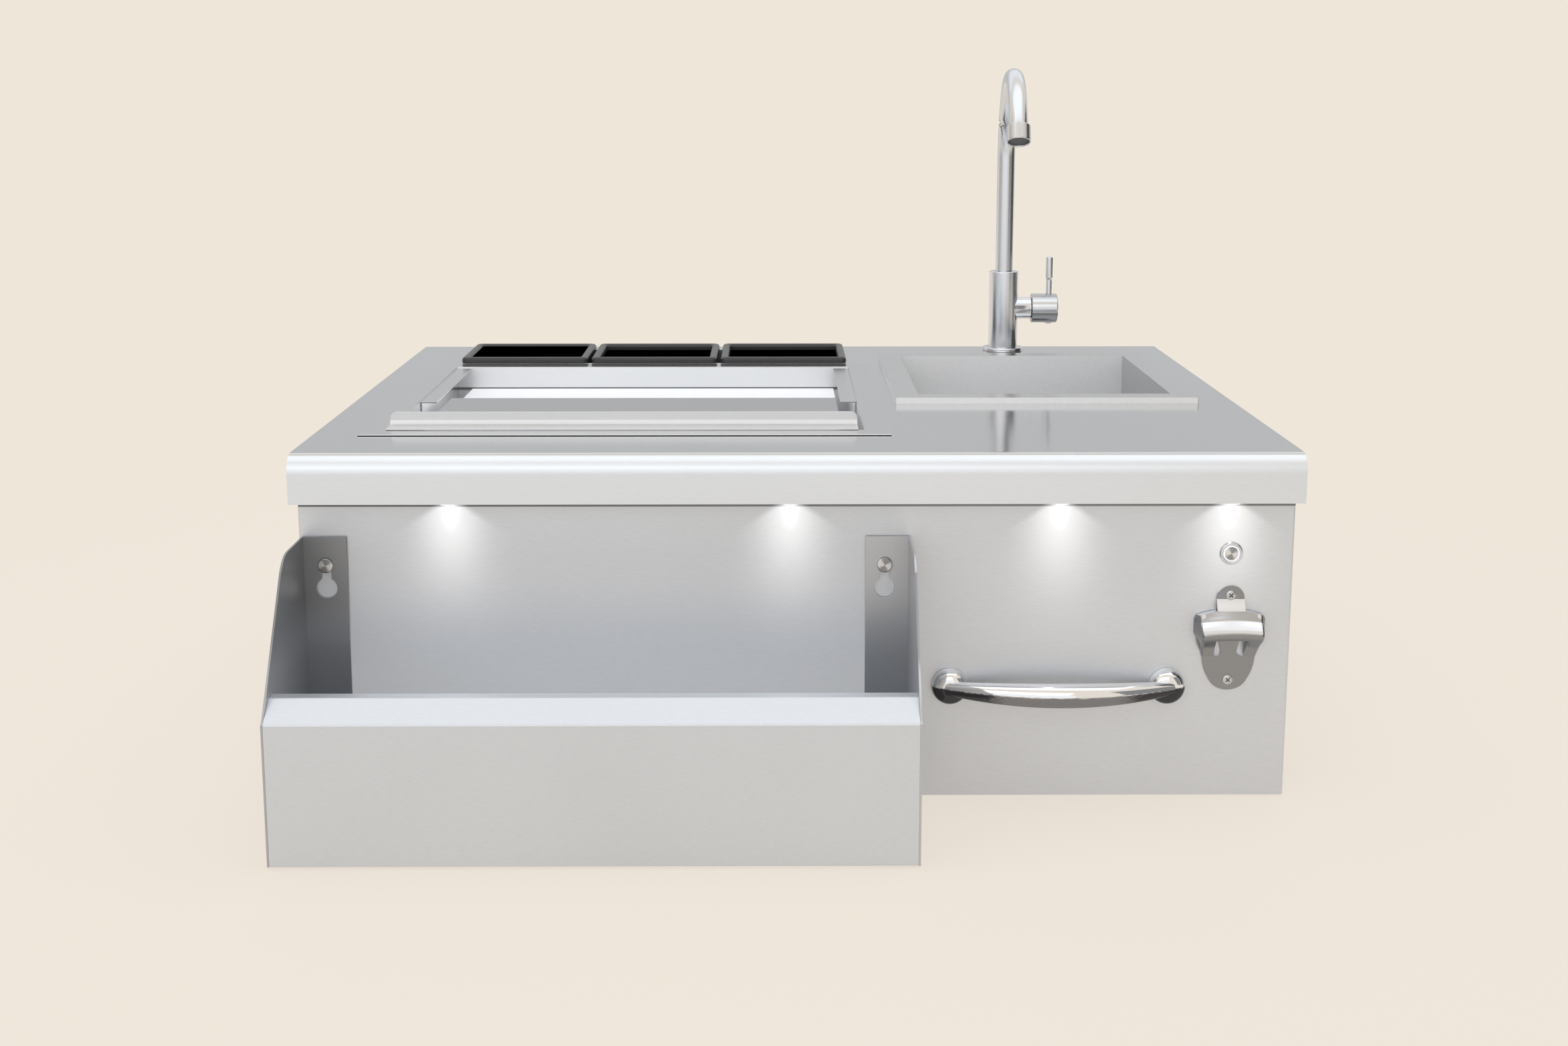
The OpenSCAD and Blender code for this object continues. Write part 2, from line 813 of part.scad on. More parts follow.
// The hood is a quarter round over the mouth, with a cheek at each side. low is the section's lower edge.
module opener_hood_side(r, low) {
    lip_z = opener_top - opener_lip;
    intersection() {
        translate([body_front, lip_z]) circle(r);
        rect([body_front - r, low], [body_front - opener_t, lip_z + r]);
    }
}

module bottle_opener() color([0.62, 0.63, 0.64]) {
    w = opener_w / 2;
    low = opener_top - opener_lip;
    along_y(body_front - opener_t, body_front) translate([opener_x, 0]) opener_plate_outline();
    difference() {
        along_x(opener_x - w, opener_x + w) opener_hood_side(opener_out, low);
        along_x(opener_x - w + opener_t, opener_x + w - opener_t)
            opener_hood_side(opener_out - opener_t, low - over);
    }
}

module opener_screws() color([0.7, 0.71, 0.72]) {
    for (z = opener_screw_z) {
        y = body_front - opener_t;
        difference() {
            union() {
                bar_y(opener_x, z, screw_head_d, y - 1.8, y);
                bar_y(opener_x, z, screw_d, y, panel_in + 6);
            }
            for (turn = [45, 135])
                translate([opener_x, y - 1.8, z]) rotate([0, turn, 0])
                    cube([4.6, 2, 1], center = true);
        }
    }
}

// ---- Towel bar ----

// The bar is swept: its middle line bows out from the panel and its diameter swells to the middle.
function bar_share(i) = i / bar_rings * 2 - 1;
function bar_out(u) = towel_end_out + (towel_out - towel_end_out) * (1 - u * u);
function bar_slope(u) = -2 * u * (towel_out - towel_end_out) / (towel_span / 2);
function bar_d(u) = towel_end_d + (towel_mid_d - towel_end_d) * (1 - u * u);
function bar_ring(u) =
    let (
        mid = [(towel_x[0] + towel_x[1]) / 2 + u * towel_span / 2, body_front - bar_out(u), towel_z],
        out = [bar_slope(u), 1, 0] / norm([bar_slope(u), 1, 0]),
        r = bar_d(u) / 2
    )
    [for (k = [0 : bar_sides - 1])
        let (a = 360 * k / bar_sides) mid + r * (cos(a) * out + sin(a) * [0, 0, 1])];

module towel_bar() color([0.85, 0.86, 0.87]) {
    reach = 1.03;         // the bar ends just past the middle of each rose
    points = [for (i = [0 : bar_rings]) each bar_ring(reach * bar_share(i))];
    last = bar_rings * bar_sides;
    sides = [for (i = [0 : bar_rings - 1], k = [0 : bar_sides - 1])
        let (a = i * bar_sides + k, b = i * bar_sides + (k + 1) % bar_sides)
        each [[a, a + bar_sides, b + bar_sides], [a, b + bar_sides, b]]];
    ends = [
        [for (k = [0 : bar_sides - 1]) k],
        [for (k = [bar_sides - 1 : -1 : 0]) last + k]
    ];
    polyhedron(points, concat(sides, ends), convexity = 4);
}

// A rose is a dome on the panel, with a tapered saddle across its face in which the bar's end lies.
module towel_roses() color([0.85, 0.86, 0.87]) {
    r = rose_d / 2;
    e = rose_edge_r;
    tilt = atan(-bar_slope(1));
    for (side = [-1, 1]) {
        x = towel_x[side < 0 ? 0 : 1];
        difference() {
            translate([x, body_front, towel_z]) rotate([90, 0, 0]) rotate_extrude() {
                rect([0, 0], [r, rose_out - e]);
                rect([0, 0], [r - e, rose_out]);
                intersection() {
                    translate([r - e, rose_out - e]) circle(e);
                    rect([0, 0], [r, rose_out]);
                }
            }
            bar_y(x, towel_z, towel_bolt_d + 2 * fit, body_front - rose_out / 2, body_front + over);
            translate([x, body_front - towel_end_out, towel_z]) rotate([0, 0, side * tilt])
                rotate([0, -side * 90, 0]) translate([0, 0, -4])
                    cylinder(h = rose_d, d1 = towel_end_d + 0.8, d2 = towel_end_d + 4.8);
        }
    }
}

module towel_bolts() color([0.6, 0.61, 0.62]) {
    for (x = towel_x) {
        bar_y(x, towel_z, towel_bolt_d, body_front - 4.5, panel_in);
        bar_y(x, towel_z, 9, panel_in, panel_in + 3.5);
    }
}

// ---- Bottle rail ----

// A headed stud: shank through the panel, neck for the rail's slot, and a head in front of it.
module rail_studs() color([0.7, 0.71, 0.72]) {
    neck_end = rail_back - rail_t - gap;
    for (x = stud_x) {
        bar_y(x, stud_z, stud_shank_d, body_front, panel_in + nut_t + 1.5);
        bar_y(x, stud_z, stud_neck_d, neck_end, body_front);
        bar_y(x, stud_z, stud_head_d, neck_end - stud_head_t, neck_end);
    }
}

module stud_nuts() color([0.65, 0.66, 0.67]) {
    for (x = stud_x)
        translate([x, panel_in + nut_t, stud_z]) rotate([90, 0, 0]) hex_ring(10, stud_shank_d, nut_t);
}

// The sheet's section: back, floor, front, sloping lip and level hem, its inner side mitred at the bends.
module rail_sheet_outline() {
    t = rail_t;
    y0 = rail_front;
    y1 = rail_back;
    hem_y = y0 + rail_lip_d;
    slope = atan2(rail_lip_h, rail_lip_d);
    polygon([
        [y1, rail_low + rail_back_h], [y1, rail_low], [y0, rail_low], [y0, rail_front_z],
        [hem_y, rail_top], [hem_y + rail_hem, rail_top], [hem_y + rail_hem, rail_top - t],
        [hem_y + t * tan(slope / 2), rail_top - t],
        [y0 + t, rail_front_z - t * tan(45 - slope / 2)], [y0 + t, rail_low + t],
        [y1 - t, rail_low + t], [y1 - t, rail_low + rail_back_h]
    ]);
}

module rail_trough() color([0.78, 0.79, 0.79]) {
    along_x(rail_x0 + rail_t, rail_x1 - rail_t) rail_sheet_outline();
}

// The end's outline: level at the top, a round corner, then a straight slope down to the lip.
module rail_end_outline() {
    r = rail_corner_r;
    meet = [rail_front + 4, rail_front_z + 4 * rail_lip_h / rail_lip_d];
    corner_y = meet.x + (rail_end_z - meet.y) / tan(rail_slope);
    back = r * tan(rail_slope / 2);
    centre = [corner_y + back, rail_end_z - r];
    slope_end = centre + r * [-sin(rail_slope), cos(rail_slope)];
    polygon([
        [rail_back, rail_low], [rail_front, rail_low], [rail_front, rail_front_z], meet, slope_end,
        centre, [centre.x, rail_end_z], [rail_back, rail_end_z]
    ]);
    intersection() {
        translate(centre) circle(r, $fn = 128);
        polygon([centre, centre + 2 * r * [-sin(rail_slope), cos(rail_slope)], centre + [0, 2 * r]]);
    }
}

module keyhole(x) {
    y0 = rail_back - rail_t - over;
    y1 = rail_back + over;
    bar_y(x, stud_z, slot_w, y0, y1);
    bar_y(x, stud_z - rail_lift, keyhole_d, y0, y1);
    block([x - slot_w / 2, y0, stud_z - rail_lift], [x + slot_w / 2, y1, stud_z]);
}

module rail_left_end() color([0.4, 0.41, 0.42]) {
    along_x(rail_x0, rail_x0 + rail_t) rail_end_outline();
    difference() {
        block(
            [rail_x0, rail_back - rail_t, rail_low + rail_back_h],
            [rail_x0 + rail_flange, rail_back, rail_end_z]
        );
        keyhole(stud_x[0]);
    }
}

module rail_right_end() color([0.4, 0.41, 0.42]) {
    along_x(rail_x1 - rail_t, rail_x1) rail_end_outline();
    difference() {
        block(
            [rail_x1 - rail_flange, rail_back - rail_t, rail_low + rail_back_h],
            [rail_x1, rail_back, rail_end_z]
        );
        keyhole(stud_x[1]);
    }
}

// ---- Ice bin ----

module ice_frame() color([0.74, 0.75, 0.75]) {
    t = bin_t;
    difference() {
        union() {
            block(
                [bin_x0 - bin_flange, bin_y0 - bin_flange, deck_z],
                [bin_x1 + bin_flange, bin_y1 + bin_flange, bin_top]
            );
            block([bin_x0 - t, bin_y0 - t, liner_top], [bin_x1 + t, bin_y1 + t, deck_z]);
        }
        block([bin_x0, bin_y0, liner_top - over], [bin_x1, bin_y1, bin_top + over]);
    }
}

// The hole for the drain through one of the bin's floors, whose underside is at low.
module ice_drain_hole(low) {
    bar_z(ice_drain_x, ice_drain_y, ice_drain_body_d + 2 * hole_gap, low - over, bin_floor + over);
}

module ice_liner() color([0.8, 0.81, 0.81]) {
    t = bin_t;
    difference() {
        tub([bin_x0 - t, bin_y0 - t], [bin_x1 + t, bin_y1 + t], bin_floor - t, liner_top, t);
        ice_drain_hole(bin_floor - t);
    }
}

module ice_insulation() color([0.9, 0.86, 0.7]) {
    t = insulation_t;
    o = bin_t + t;
    low = bin_floor - bin_t - t;
    difference() {
        tub([bin_x0 - o, bin_y0 - o], [bin_x1 + o, bin_y1 + o], low, liner_top, t);
        ice_drain_hole(low);
    }
}

module ice_jacket() color([0.65, 0.66, 0.67]) {
    t = jacket_t;
    o = jacket_out;
    low = bin_floor - bin_t - insulation_t - t;
    difference() {
        tub([bin_x0 - o, bin_y0 - o], [bin_x1 + o, bin_y1 + o], low, liner_top, t);
        ice_drain_hole(low);
    }
}

// A guide is an upright leg on the collar, a ledge for the lid's foot and, at the back, a lip over it.
module lid_guide(side) {
    wall = side < 0 ? bin_x0 : bin_x1;
    lip_y = bin_y1 - guide_l;
    module leg(from, to, y0, z0, z1) {
        x0 = wall - side * from;
        x1 = wall - side * to;
        block([min(x0, x1), y0, z0], [max(x0, x1), bin_y1, z1]);
    }
    leg(0, guide_t, lip_y, liner_top, guide_top);
    leg(0, guide_w, lip_y, guide_top - guide_t, guide_top);
    leg(0, ledge_w, bin_y0, liner_top - ledge_t, liner_top);
}

module lid_guides() color([0.76, 0.77, 0.77]) {
    lid_guide(-1);
    lid_guide(1);
}

// The lid: a flat top between the guides, sides folded down to feet that slide on the ledges, and in
// front a flange over the bin's frame with an upstand to pull by.
module ice_lid() color([0.8, 0.81, 0.81]) {
    t = lid_t;
    y0 = handle_y + handle_t;
    foot0 = bin_x0 + guide_t + lid_foot_gap;
    foot1 = bin_x1 - guide_t - lid_foot_gap;
    handle_top = deck_z + handle_h;
    bend = [handle_y - handle_bend_r, handle_base + t + handle_bend_r];
    block([lid_x0, handle_y, lid_top - t], [lid_x1, lid_back, lid_top]);
    for (side = [0, 1]) {
        x = side == 0 ? lid_x0 : lid_x1 - t;
        block([x, y0, lid_foot], [x + t, lid_back, lid_top - t]);
    }
    block([foot0, y0, lid_foot], [lid_x0 + t, lid_back, lid_foot + t]);
    block([lid_x1 - t, y0, lid_foot], [foot1, lid_back, lid_foot + t]);
    intersection() {
        along_x(handle_x0, handle_x1) {
            rect([bin_y0 - 2, handle_base], [handle_y + handle_t, handle_base + t]);
            rect([handle_y, lid_top - t], [handle_y + handle_t, handle_top]);
            difference() {
                rect([bend.x, handle_base], [handle_y + handle_t / 2, bend.y]);
                translate(bend) circle(handle_bend_r);
            }
        }
        along_y(bin_y0 - bin_flange, handle_y + handle_t + over) {
            rect([lid_x0, 0], [lid_x1, handle_base]);
            rect([handle_x0, handle_base], [handle_x1, handle_top - handle_corner_r]);
            rect([handle_x0 + handle_corner_r, handle_base], [handle_x1 - handle_corner_r, handle_top]);
            for (x = [handle_x0 + handle_corner_r, handle_x1 - handle_corner_r])
                translate([x, handle_top - handle_corner_r]) circle(handle_corner_r);
        }
    }
}

module ice_drain() color([0.6, 0.61, 0.62]) {
    low = bin_floor - bin_t - insulation_t - jacket_t;
    x = ice_drain_x;
    y = ice_drain_y;
    difference() {
        union() {
            bar_z(x, y, ice_drain_flange_d, bin_floor, bin_floor + 1.5);
            bar_z(x, y, ice_drain_body_d, low - 12, bin_floor);
            bar_z(x, y, ice_tail_d, tail_end, low - 12);
        }
        bar_z(x, y, ice_drain_bore_d, tail_end - over, bin_floor + 2);
        bar_z(x, y, plug_d, bin_floor + 1.5 - plug_seat, bin_floor + 2);
    }
}

module ice_drain_nut() color([0.6, 0.61, 0.62]) {
    low = bin_floor - bin_t - insulation_t - jacket_t;
    translate([ice_drain_x, ice_drain_y, low - 7]) hex_ring(46, ice_drain_body_d, 7);
}

// A rubber plug with a knob to pull it by.
module ice_drain_plug() color([0.12, 0.12, 0.12]) {
    x = ice_drain_x;
    y = ice_drain_y;
    seat = bin_floor + 1.5;
    bar_z(x, y, plug_d - 2 * gap, seat - plug_seat + gap, seat + gap);
    bar_z(x, y, plug_d + 8, seat + gap, seat + 3);
    bar_z(x, y, 8, seat + 3, seat + 12);
    translate([x, y, seat + 14]) sphere(d = 12);
}

// ---- Condiment pans ----

module pan_tray() color([0.7, 0.71, 0.72]) {
    lip = tray_lip;
    difference() {
        block(
            [tray_x0 - lip, tray_y0 - lip, deck_z],
            [tray_x1 + lip, tray_y1 + lip, deck_z + tray_flange_t]
        );
        block(
            [tray_x0 + tray_t, tray_y0 + tray_t, deck_z - over],
            [tray_x1 - tray_t, tray_y1 - tray_t, deck_z + tray_flange_t + over]
        );
    }
    tub([tray_x0, tray_y0], [tray_x1, tray_y1], deck_z - tray_depth, deck_z, tray_t);
}

// A pan is a moulded tub with a raised rim that hangs on the tray's flange.
module pan(i) {
    x0 = pans_x0 + i * pan_pitch;
    x1 = x0 + pan_w;
    low = [x0 + pan_shoulder, pans_y0 + pan_shoulder];
    high = [x1 - pan_shoulder, pans_y1 - pan_shoulder];
    top = deck_z + pan_rim_h;
    rest = deck_z + tray_flange_t + gap;
    bottom = deck_z - pan_depth;
    difference() {
        union() {
            along_z(rest, top) round_rect([x0, pans_y0], [x1, pans_y1], pan_corner_r);
            along_z(bottom, rest + over) round_rect(low, high, pan_corner_r);
        }
        along_z(bottom + pan_t, top + over)
            round_rect(low + [pan_t, pan_t], high - [pan_t, pan_t], pan_corner_r - pan_t);
        // The rim is hollow underneath, as moulded rims are
        difference() {
            along_z(rest - over, top - pan_t)
                round_rect(
                    [x0 + pan_t, pans_y0 + pan_t], [x1 - pan_t, pans_y1 - pan_t], pan_corner_r - pan_t
                );
            along_z(rest - 2 * over, top) round_rect(low, high, pan_corner_r);
        }
    }
}

module left_pan() color([0.1, 0.1, 0.1]) pan(0);

module middle_pan() color([0.1, 0.1, 0.1]) pan(1);

module right_pan() color([0.1, 0.1, 0.1]) pan(2);

// ---- Sink ----

module sink_bowl() color([0.8, 0.81, 0.81]) {
    t = sink_t;
    difference() {
        union() {
            along_z(deck_z, sink_top) round_rect([sink_x0, sink_y0], [sink_x1, sink_y1], sink_corner_r);
            block([bowl_x0 - t, bowl_y0 - t, sink_floor - t], [bowl_x1 + t, bowl_y1 + t, deck_z + over]);
        }
        block([bowl_x0, bowl_y0, sink_floor], [bowl_x1, bowl_y1, sink_top + over]);
        // Under the rim, between its outer skirt and the bowl
        difference() {
            block([sink_x0 + t, sink_y0 + t, deck_z - over], [sink_x1 - t, sink_y1 - t, sink_top - t]);
            block([bowl_x0 - t, bowl_y0 - t, deck_z - 2 * over], [bowl_x1 + t, bowl_y1 + t, sink_top]);
        }
        bar_z(
            sink_mid.x, sink_mid.y, drain_d + 2 * drain_t + 2 * hole_gap,
            sink_floor - t - over, sink_floor + over
        );
    }
}

// A soft strip under the rim, just inside its skirt.
module sink_seal() color([0.2, 0.2, 0.2]) {
    t = sink_t;
    difference() {
        block([sink_x0 + t, sink_y0 + t, deck_z], [sink_x1 - t, sink_y1 - t, sink_top - t]);
        block(
            [sink_x0 + t + seal_w, sink_y0 + t + seal_w, deck_z - over],
            [sink_x1 - t - seal_w, sink_y1 - t - seal_w, sink_top]
        );
    }
}

module sink_clip(at, turn) {
    translate([at.x, at.y, under_z]) rotate([0, 0, turn]) {
        block([-clip_w / 2, 0, -clip_h], [clip_w / 2, 2, 0]);
        block([-clip_w / 2, 0, -3], [clip_w / 2, clip_reach, 0]);
    }
}

module sink_clips() color([0.6, 0.61, 0.62]) {
    t = sink_t;
    for (y = [-70, 70]) {
        sink_clip([bowl_x0 - t, sink_mid.y + y], 90);
        sink_clip([bowl_x1 + t, sink_mid.y + y], -90);
    }
    for (x = [-60, 60]) {
        sink_clip([sink_mid.x + x, bowl_y0 - t], 180);
        sink_clip([sink_mid.x + x, bowl_y1 + t], 0);
    }
}

module drain_cup() color([0.7, 0.71, 0.72]) {
    floor_z = sink_floor - drain_cup_h;
    o = drain_d + 2 * drain_t;
    translate([sink_mid.x, sink_mid.y, 0]) difference() {
        union() {
            bar_z(0, 0, drain_flange_d, sink_floor, sink_floor + drain_t);
            bar_z(0, 0, o, floor_z, sink_floor);
            bar_z(0, 0, tail_d + 8, floor_z - drain_neck_h, floor_z);
        }
        bar_z(0, 0, drain_d, floor_z + drain_t, sink_floor + drain_t + over);
        bar_z(0, 0, tail_spigot_d + 2 * fit, floor_z - drain_neck_h - over, floor_z - 2);
        bar_z(0, 0, tail_d - 2 * tail_t, floor_z - 3, floor_z + 3);
    }
}

module drain_gasket() color([0.15, 0.15, 0.15]) {
    z = sink_floor - sink_t;
    o = drain_d + 2 * drain_t;
    difference() {
        bar_z(sink_mid.x, sink_mid.y, o + 22, z - drain_gasket_t, z);
        bar_z(sink_mid.x, sink_mid.y, o, z - drain_gasket_t - over, z + over);
    }
}

module drain_nut() color([0.6, 0.61, 0.62]) {
    z = sink_floor - sink_t - drain_gasket_t;
    o = drain_d + 2 * drain_t;
    difference() {
        bar_z(sink_mid.x, sink_mid.y, o + 18, z - drain_nut_h, z);
        bar_z(sink_mid.x, sink_mid.y, o, z - drain_nut_h - over, z + over);
        for (a = [0 : 45 : 315])
            translate([sink_mid.x, sink_mid.y, z - drain_nut_h]) rotate([0, 0, a])
                translate([(o + 18) / 2, 0, drain_nut_h / 2]) cube([5, 8, drain_nut_h + 2], center = true);
    }
}

module drain_tail() color([0.75, 0.76, 0.77]) {
    top = sink_floor - drain_cup_h - 2;
    difference() {
        union() {
            bar_z(sink_mid.x, sink_mid.y, tail_d, tail_end, sink_floor - drain_cup_h - drain_neck_h);
            bar_z(sink_mid.x, sink_mid.y, tail_spigot_d, tail_end + over, top);
        }
        bar_z(sink_mid.x, sink_mid.y, tail_d - 2 * tail_t, tail_end - over, top + over);
    }
}

// The basket stands in the cup, with holes through its floor and a knob on a post.
module strainer_basket() color([0.78, 0.79, 0.8]) {
    r = drain_d / 2 - basket_play;
    rim_z = sink_floor + drain_t + gap;
    low = rim_z - basket_h;
    t = basket_t;
    translate([sink_mid.x, sink_mid.y, 0]) {
        difference() {
            union() {
                bar_z(0, 0, drain_d + 8, rim_z, rim_z + t);
                bar_z(0, 0, 2 * r, low, rim_z);
            }
            bar_z(0, 0, 2 * (r - t), low + t, rim_z + t + over);
            for (ring = [[14, 8], [26, 16]], k = [0 : ring[1] - 1])
                rotate([0, 0, 360 * k / ring[1]]) bar_z(ring[0], 0, 5, low - over, low + t + over);
        }
        bar_z(0, 0, 5, low + t, rim_z - 6);
        bar_z(0, 0, 14, rim_z - 6, rim_z - 2);
    }
}

// ---- Tap ----

module tap_flange() color([0.72, 0.73, 0.74]) {
    difference() {
        union() {
            bar_z(tap_x, tap_y, tap_flange_d, deck_z, deck_z + tap_flange_h - 1.2);
            bar_z(tap_x, tap_y, tap_flange_d - 4, deck_z, deck_z + tap_flange_h);
        }
        bar_z(tap_x, tap_y, tap_body_d, deck_z - over, deck_z + tap_flange_h + over);
    }
}

module tap_body() color([0.75, 0.76, 0.77]) {
    top = deck_z + tap_body_h;
    low = deck_z - shank_l;
    difference() {
        union() {
            bar_z(tap_x, tap_y, tap_body_d, deck_z, top);
            bar_z(tap_x, tap_y, shank_d, low, deck_z);
            bar_z(tap_x, tap_y, inlet_pin_d, low - inlet_pin_l, low);
            translate([tap_x, tap_y, neck_z]) rotate([0, 90, 0]) cylinder(h = neck_out, d = neck_d);
        }
        bar_z(tap_x, tap_y, spout_d + 2 * fit, top - spout_in - 1, top + over);
        bar_z(tap_x, tap_y, tap_bore_d, low - inlet_pin_l - over, top - spout_in);
        translate([tap_x + 8, tap_y, neck_z]) rotate([0, 90, 0]) cylinder(h = neck_out, d = cartridge_d);
    }
}

// What turns with the spout is drawn on an upright axis and then turned to its place.
module on_spout() {
    translate([tap_x, tap_y, deck_z]) rotate([0, 0, spout_turn]) children();
}

// The end of the bend, with +Z along the way the water flows.
module at_outlet() {
    r = spout_bend_r;
    translate([0, -r + r * cos(spout_bend), spout_rise + r * sin(spout_bend)])
        rotate([spout_bend, 0, 0]) children();
}

// A straight tube, standing on its own origin.
module spout_tube(d, bore, length) {
    difference() {
        cylinder(h = length, d = d);
        translate([0, 0, -over]) cylinder(h = length + 2 * over, d = bore);
    }
}

// The gooseneck: a straight rise, the bend, and at its end the turned-down spigot for the collar.
module tap_spout() color([0.75, 0.76, 0.77]) on_spout() {
    low = tap_body_h - spout_in;
    bore = spout_d - 2 * spout_wall;
    translate([0, 0, low]) spout_tube(spout_d, bore, spout_rise - low);
    translate([0, -spout_bend_r, spout_rise]) rotate([90, 0, 90]) difference() {
        rotate_extrude(angle = spout_bend) translate([spout_bend_r, 0]) circle(d = spout_d);
        rotate_extrude(angle = spout_bend + over) translate([spout_bend_r, 0]) circle(d = bore);
    }
    at_outlet() spout_tube(spigot_d, spigot_bore, spigot_l);
}

module outlet_collar() color([0.75, 0.76, 0.77]) on_spout() at_outlet() difference() {
    cylinder(h = collar_l, d = collar_d);
    translate([0, 0, -over]) cylinder(h = collar_l + 2 * over, d = spigot_d + 2 * fit);
    translate([0, 0, spigot_l]) cylinder(h = collar_l, d = aerator_d);
}

// A disc inside the collar, with ring-shaped slots in the face that the water leaves by.
module aerator() color([0.3, 0.31, 0.32]) on_spout() at_outlet() translate([0, 0, spigot_l]) {
    h = collar_l - spigot_l - aerator_in;
    difference() {
        cylinder(h = h, d = aerator_d);
        for (d = [4, 9, 14]) translate([0, 0, h - 1.2]) difference() {
            cylinder(h = 2, d = d + 2);
            translate([0, 0, -over]) cylinder(h = 4, d = d);
        }
    }
}

module tap_cartridge() color([0.8, 0.8, 0.75]) {
    translate([tap_x + 8, tap_y, neck_z]) rotate([0, 90, 0]) {
        cylinder(h = neck_out - 8, d = cartridge_d);
        cylinder(h = hub_out - 8 - 12, d = hub_stem_d);
    }
}

module tap_hub() color([0.75, 0.76, 0.77]) {
    translate([tap_x + hub_in, tap_y, neck_z]) rotate([0, 90, 0]) difference() {
        cylinder(h = hub_out - hub_in, d = hub_d);
        translate([0, 0, -over]) cylinder(h = hub_out - hub_in - 12 + 2 * over, d = hub_stem_d + 2 * fit);
        // Sockets for the lever, on top, and for the cap screw
        translate([-hub_d / 2 - over, 0, lever_out - hub_in]) rotate([0, 90, 0]) {
            cylinder(h = hub_socket + over, d = lever_rod_d + 2 * fit);
            translate([0, 0, hub_d + over - hub_socket])
                cylinder(h = hub_socket + over, d = cap_d + 2 * fit);
        }
    }
}

module tap_lever() color([0.75, 0.76, 0.77]) {
    base = neck_z + hub_d / 2;
    bar_z(tap_x + lever_out, tap_y, lever_rod_d, base - hub_socket, base + lever_rod_h);
    bar_z(tap_x + lever_out, tap_y, lever_grip_d, base + lever_rod_h, base + lever_h);
}

module tap_cap_screw() color([0.7, 0.71, 0.72]) {
    low = neck_z - hub_d / 2;
    bar_z(tap_x + lever_out, tap_y, cap_d, low - cap_proud, low + hub_socket);
}

module tap_gasket() color([0.15, 0.15, 0.15]) {
    difference() {
        bar_z(tap_x, tap_y, tap_flange_d, under_z - tap_gasket_t, under_z);
        bar_z(tap_x, tap_y, shank_d, under_z - tap_gasket_t - over, under_z + over);
    }
}

module tap_nut() color([0.6, 0.61, 0.62]) {
    translate([tap_x, tap_y, under_z - tap_gasket_t - tap_nut_h]) hex_ring(36, shank_d, tap_nut_h);
}

// ---- What is drawn ----

deck();
front_panel();
left_side_panel();
right_side_panel();
back_panel();
bottom_panel();
deck_braces();
light_housings();
light_lenses();
light_driver();
light_wiring();
power_inlet();
switch_housing();
switch_ring();
switch_button();
switch_nut();
bottle_opener();
opener_screws();
towel_bar();
towel_roses();
towel_bolts();
rail_studs();
stud_nuts();
rail_trough();
rail_left_end();
rail_right_end();
ice_frame();
ice_liner();
ice_insulation();
ice_jacket();
lid_guides();
ice_lid();
ice_drain();
ice_drain_nut();
ice_drain_plug();
pan_tray();
left_pan();
middle_pan();
right_pan();
sink_bowl();
sink_seal();
sink_clips();
drain_cup();
drain_gasket();
drain_nut();
drain_tail();
strainer_basket();
tap_flange();
tap_body();
tap_spout();
outlet_collar();
aerator();
tap_cartridge();
tap_hub();
tap_lever();
tap_cap_screw();
tap_gasket();
tap_nut();
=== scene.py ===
# %% [markdown]
# # A bar sink with an ice bin, dressed in steel
#
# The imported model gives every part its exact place, in metres. This lesson adds what a solid model
# leaves out: rolled edges, formed sheet, brushed and spun steel, lit lamps, light and a camera.
# Each cell makes one piece or one finish, and says why it is made the way it is.

# %% Load the frame
import json
import math

import bmesh
import bpy
from mathutils import Matrix, Vector

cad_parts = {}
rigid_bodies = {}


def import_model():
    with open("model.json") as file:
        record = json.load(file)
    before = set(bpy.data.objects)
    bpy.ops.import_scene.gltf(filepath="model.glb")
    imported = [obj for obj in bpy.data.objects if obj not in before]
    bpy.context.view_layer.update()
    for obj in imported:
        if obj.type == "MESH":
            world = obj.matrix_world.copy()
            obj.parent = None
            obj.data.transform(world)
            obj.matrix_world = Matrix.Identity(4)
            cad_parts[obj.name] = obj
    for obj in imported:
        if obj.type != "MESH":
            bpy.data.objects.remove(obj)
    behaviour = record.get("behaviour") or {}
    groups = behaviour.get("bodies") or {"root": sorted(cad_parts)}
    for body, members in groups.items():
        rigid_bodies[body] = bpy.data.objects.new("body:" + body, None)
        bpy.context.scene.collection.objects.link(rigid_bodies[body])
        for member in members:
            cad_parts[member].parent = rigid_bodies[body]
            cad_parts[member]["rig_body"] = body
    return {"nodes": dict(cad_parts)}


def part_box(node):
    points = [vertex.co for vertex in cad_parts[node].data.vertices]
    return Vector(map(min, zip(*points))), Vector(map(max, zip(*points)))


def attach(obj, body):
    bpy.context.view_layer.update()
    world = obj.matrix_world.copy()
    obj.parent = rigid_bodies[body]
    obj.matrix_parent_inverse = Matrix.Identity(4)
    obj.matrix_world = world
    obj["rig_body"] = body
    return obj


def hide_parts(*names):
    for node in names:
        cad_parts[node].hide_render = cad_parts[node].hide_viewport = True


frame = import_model()
bpy.context.scene.view_settings.view_transform = "Standard"
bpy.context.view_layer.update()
cad_nodes = frame["nodes"]
MM = 0.001


def centre_of(node):
    """The middle of a CAD node's box."""
    low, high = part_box(node)
    return (low + high) / 2


def mesh_object(name, bm):
    """Turns a bmesh into an object of the scene, and frees it."""
    data = bpy.data.meshes.new(name)
    bm.to_mesh(data)
    bm.free()
    made = bpy.data.objects.new(name, data)
    bpy.context.scene.collection.objects.link(made)
    return made


# %% [markdown]
# ## Camera
#
# The photograph was taken from just above the bar, square to its front, with the upright lines kept
# parallel. A large lens shift does that, but it would push the object out of the frame in views from
# other sides. So the camera tips down a little instead and keeps only a small shift.

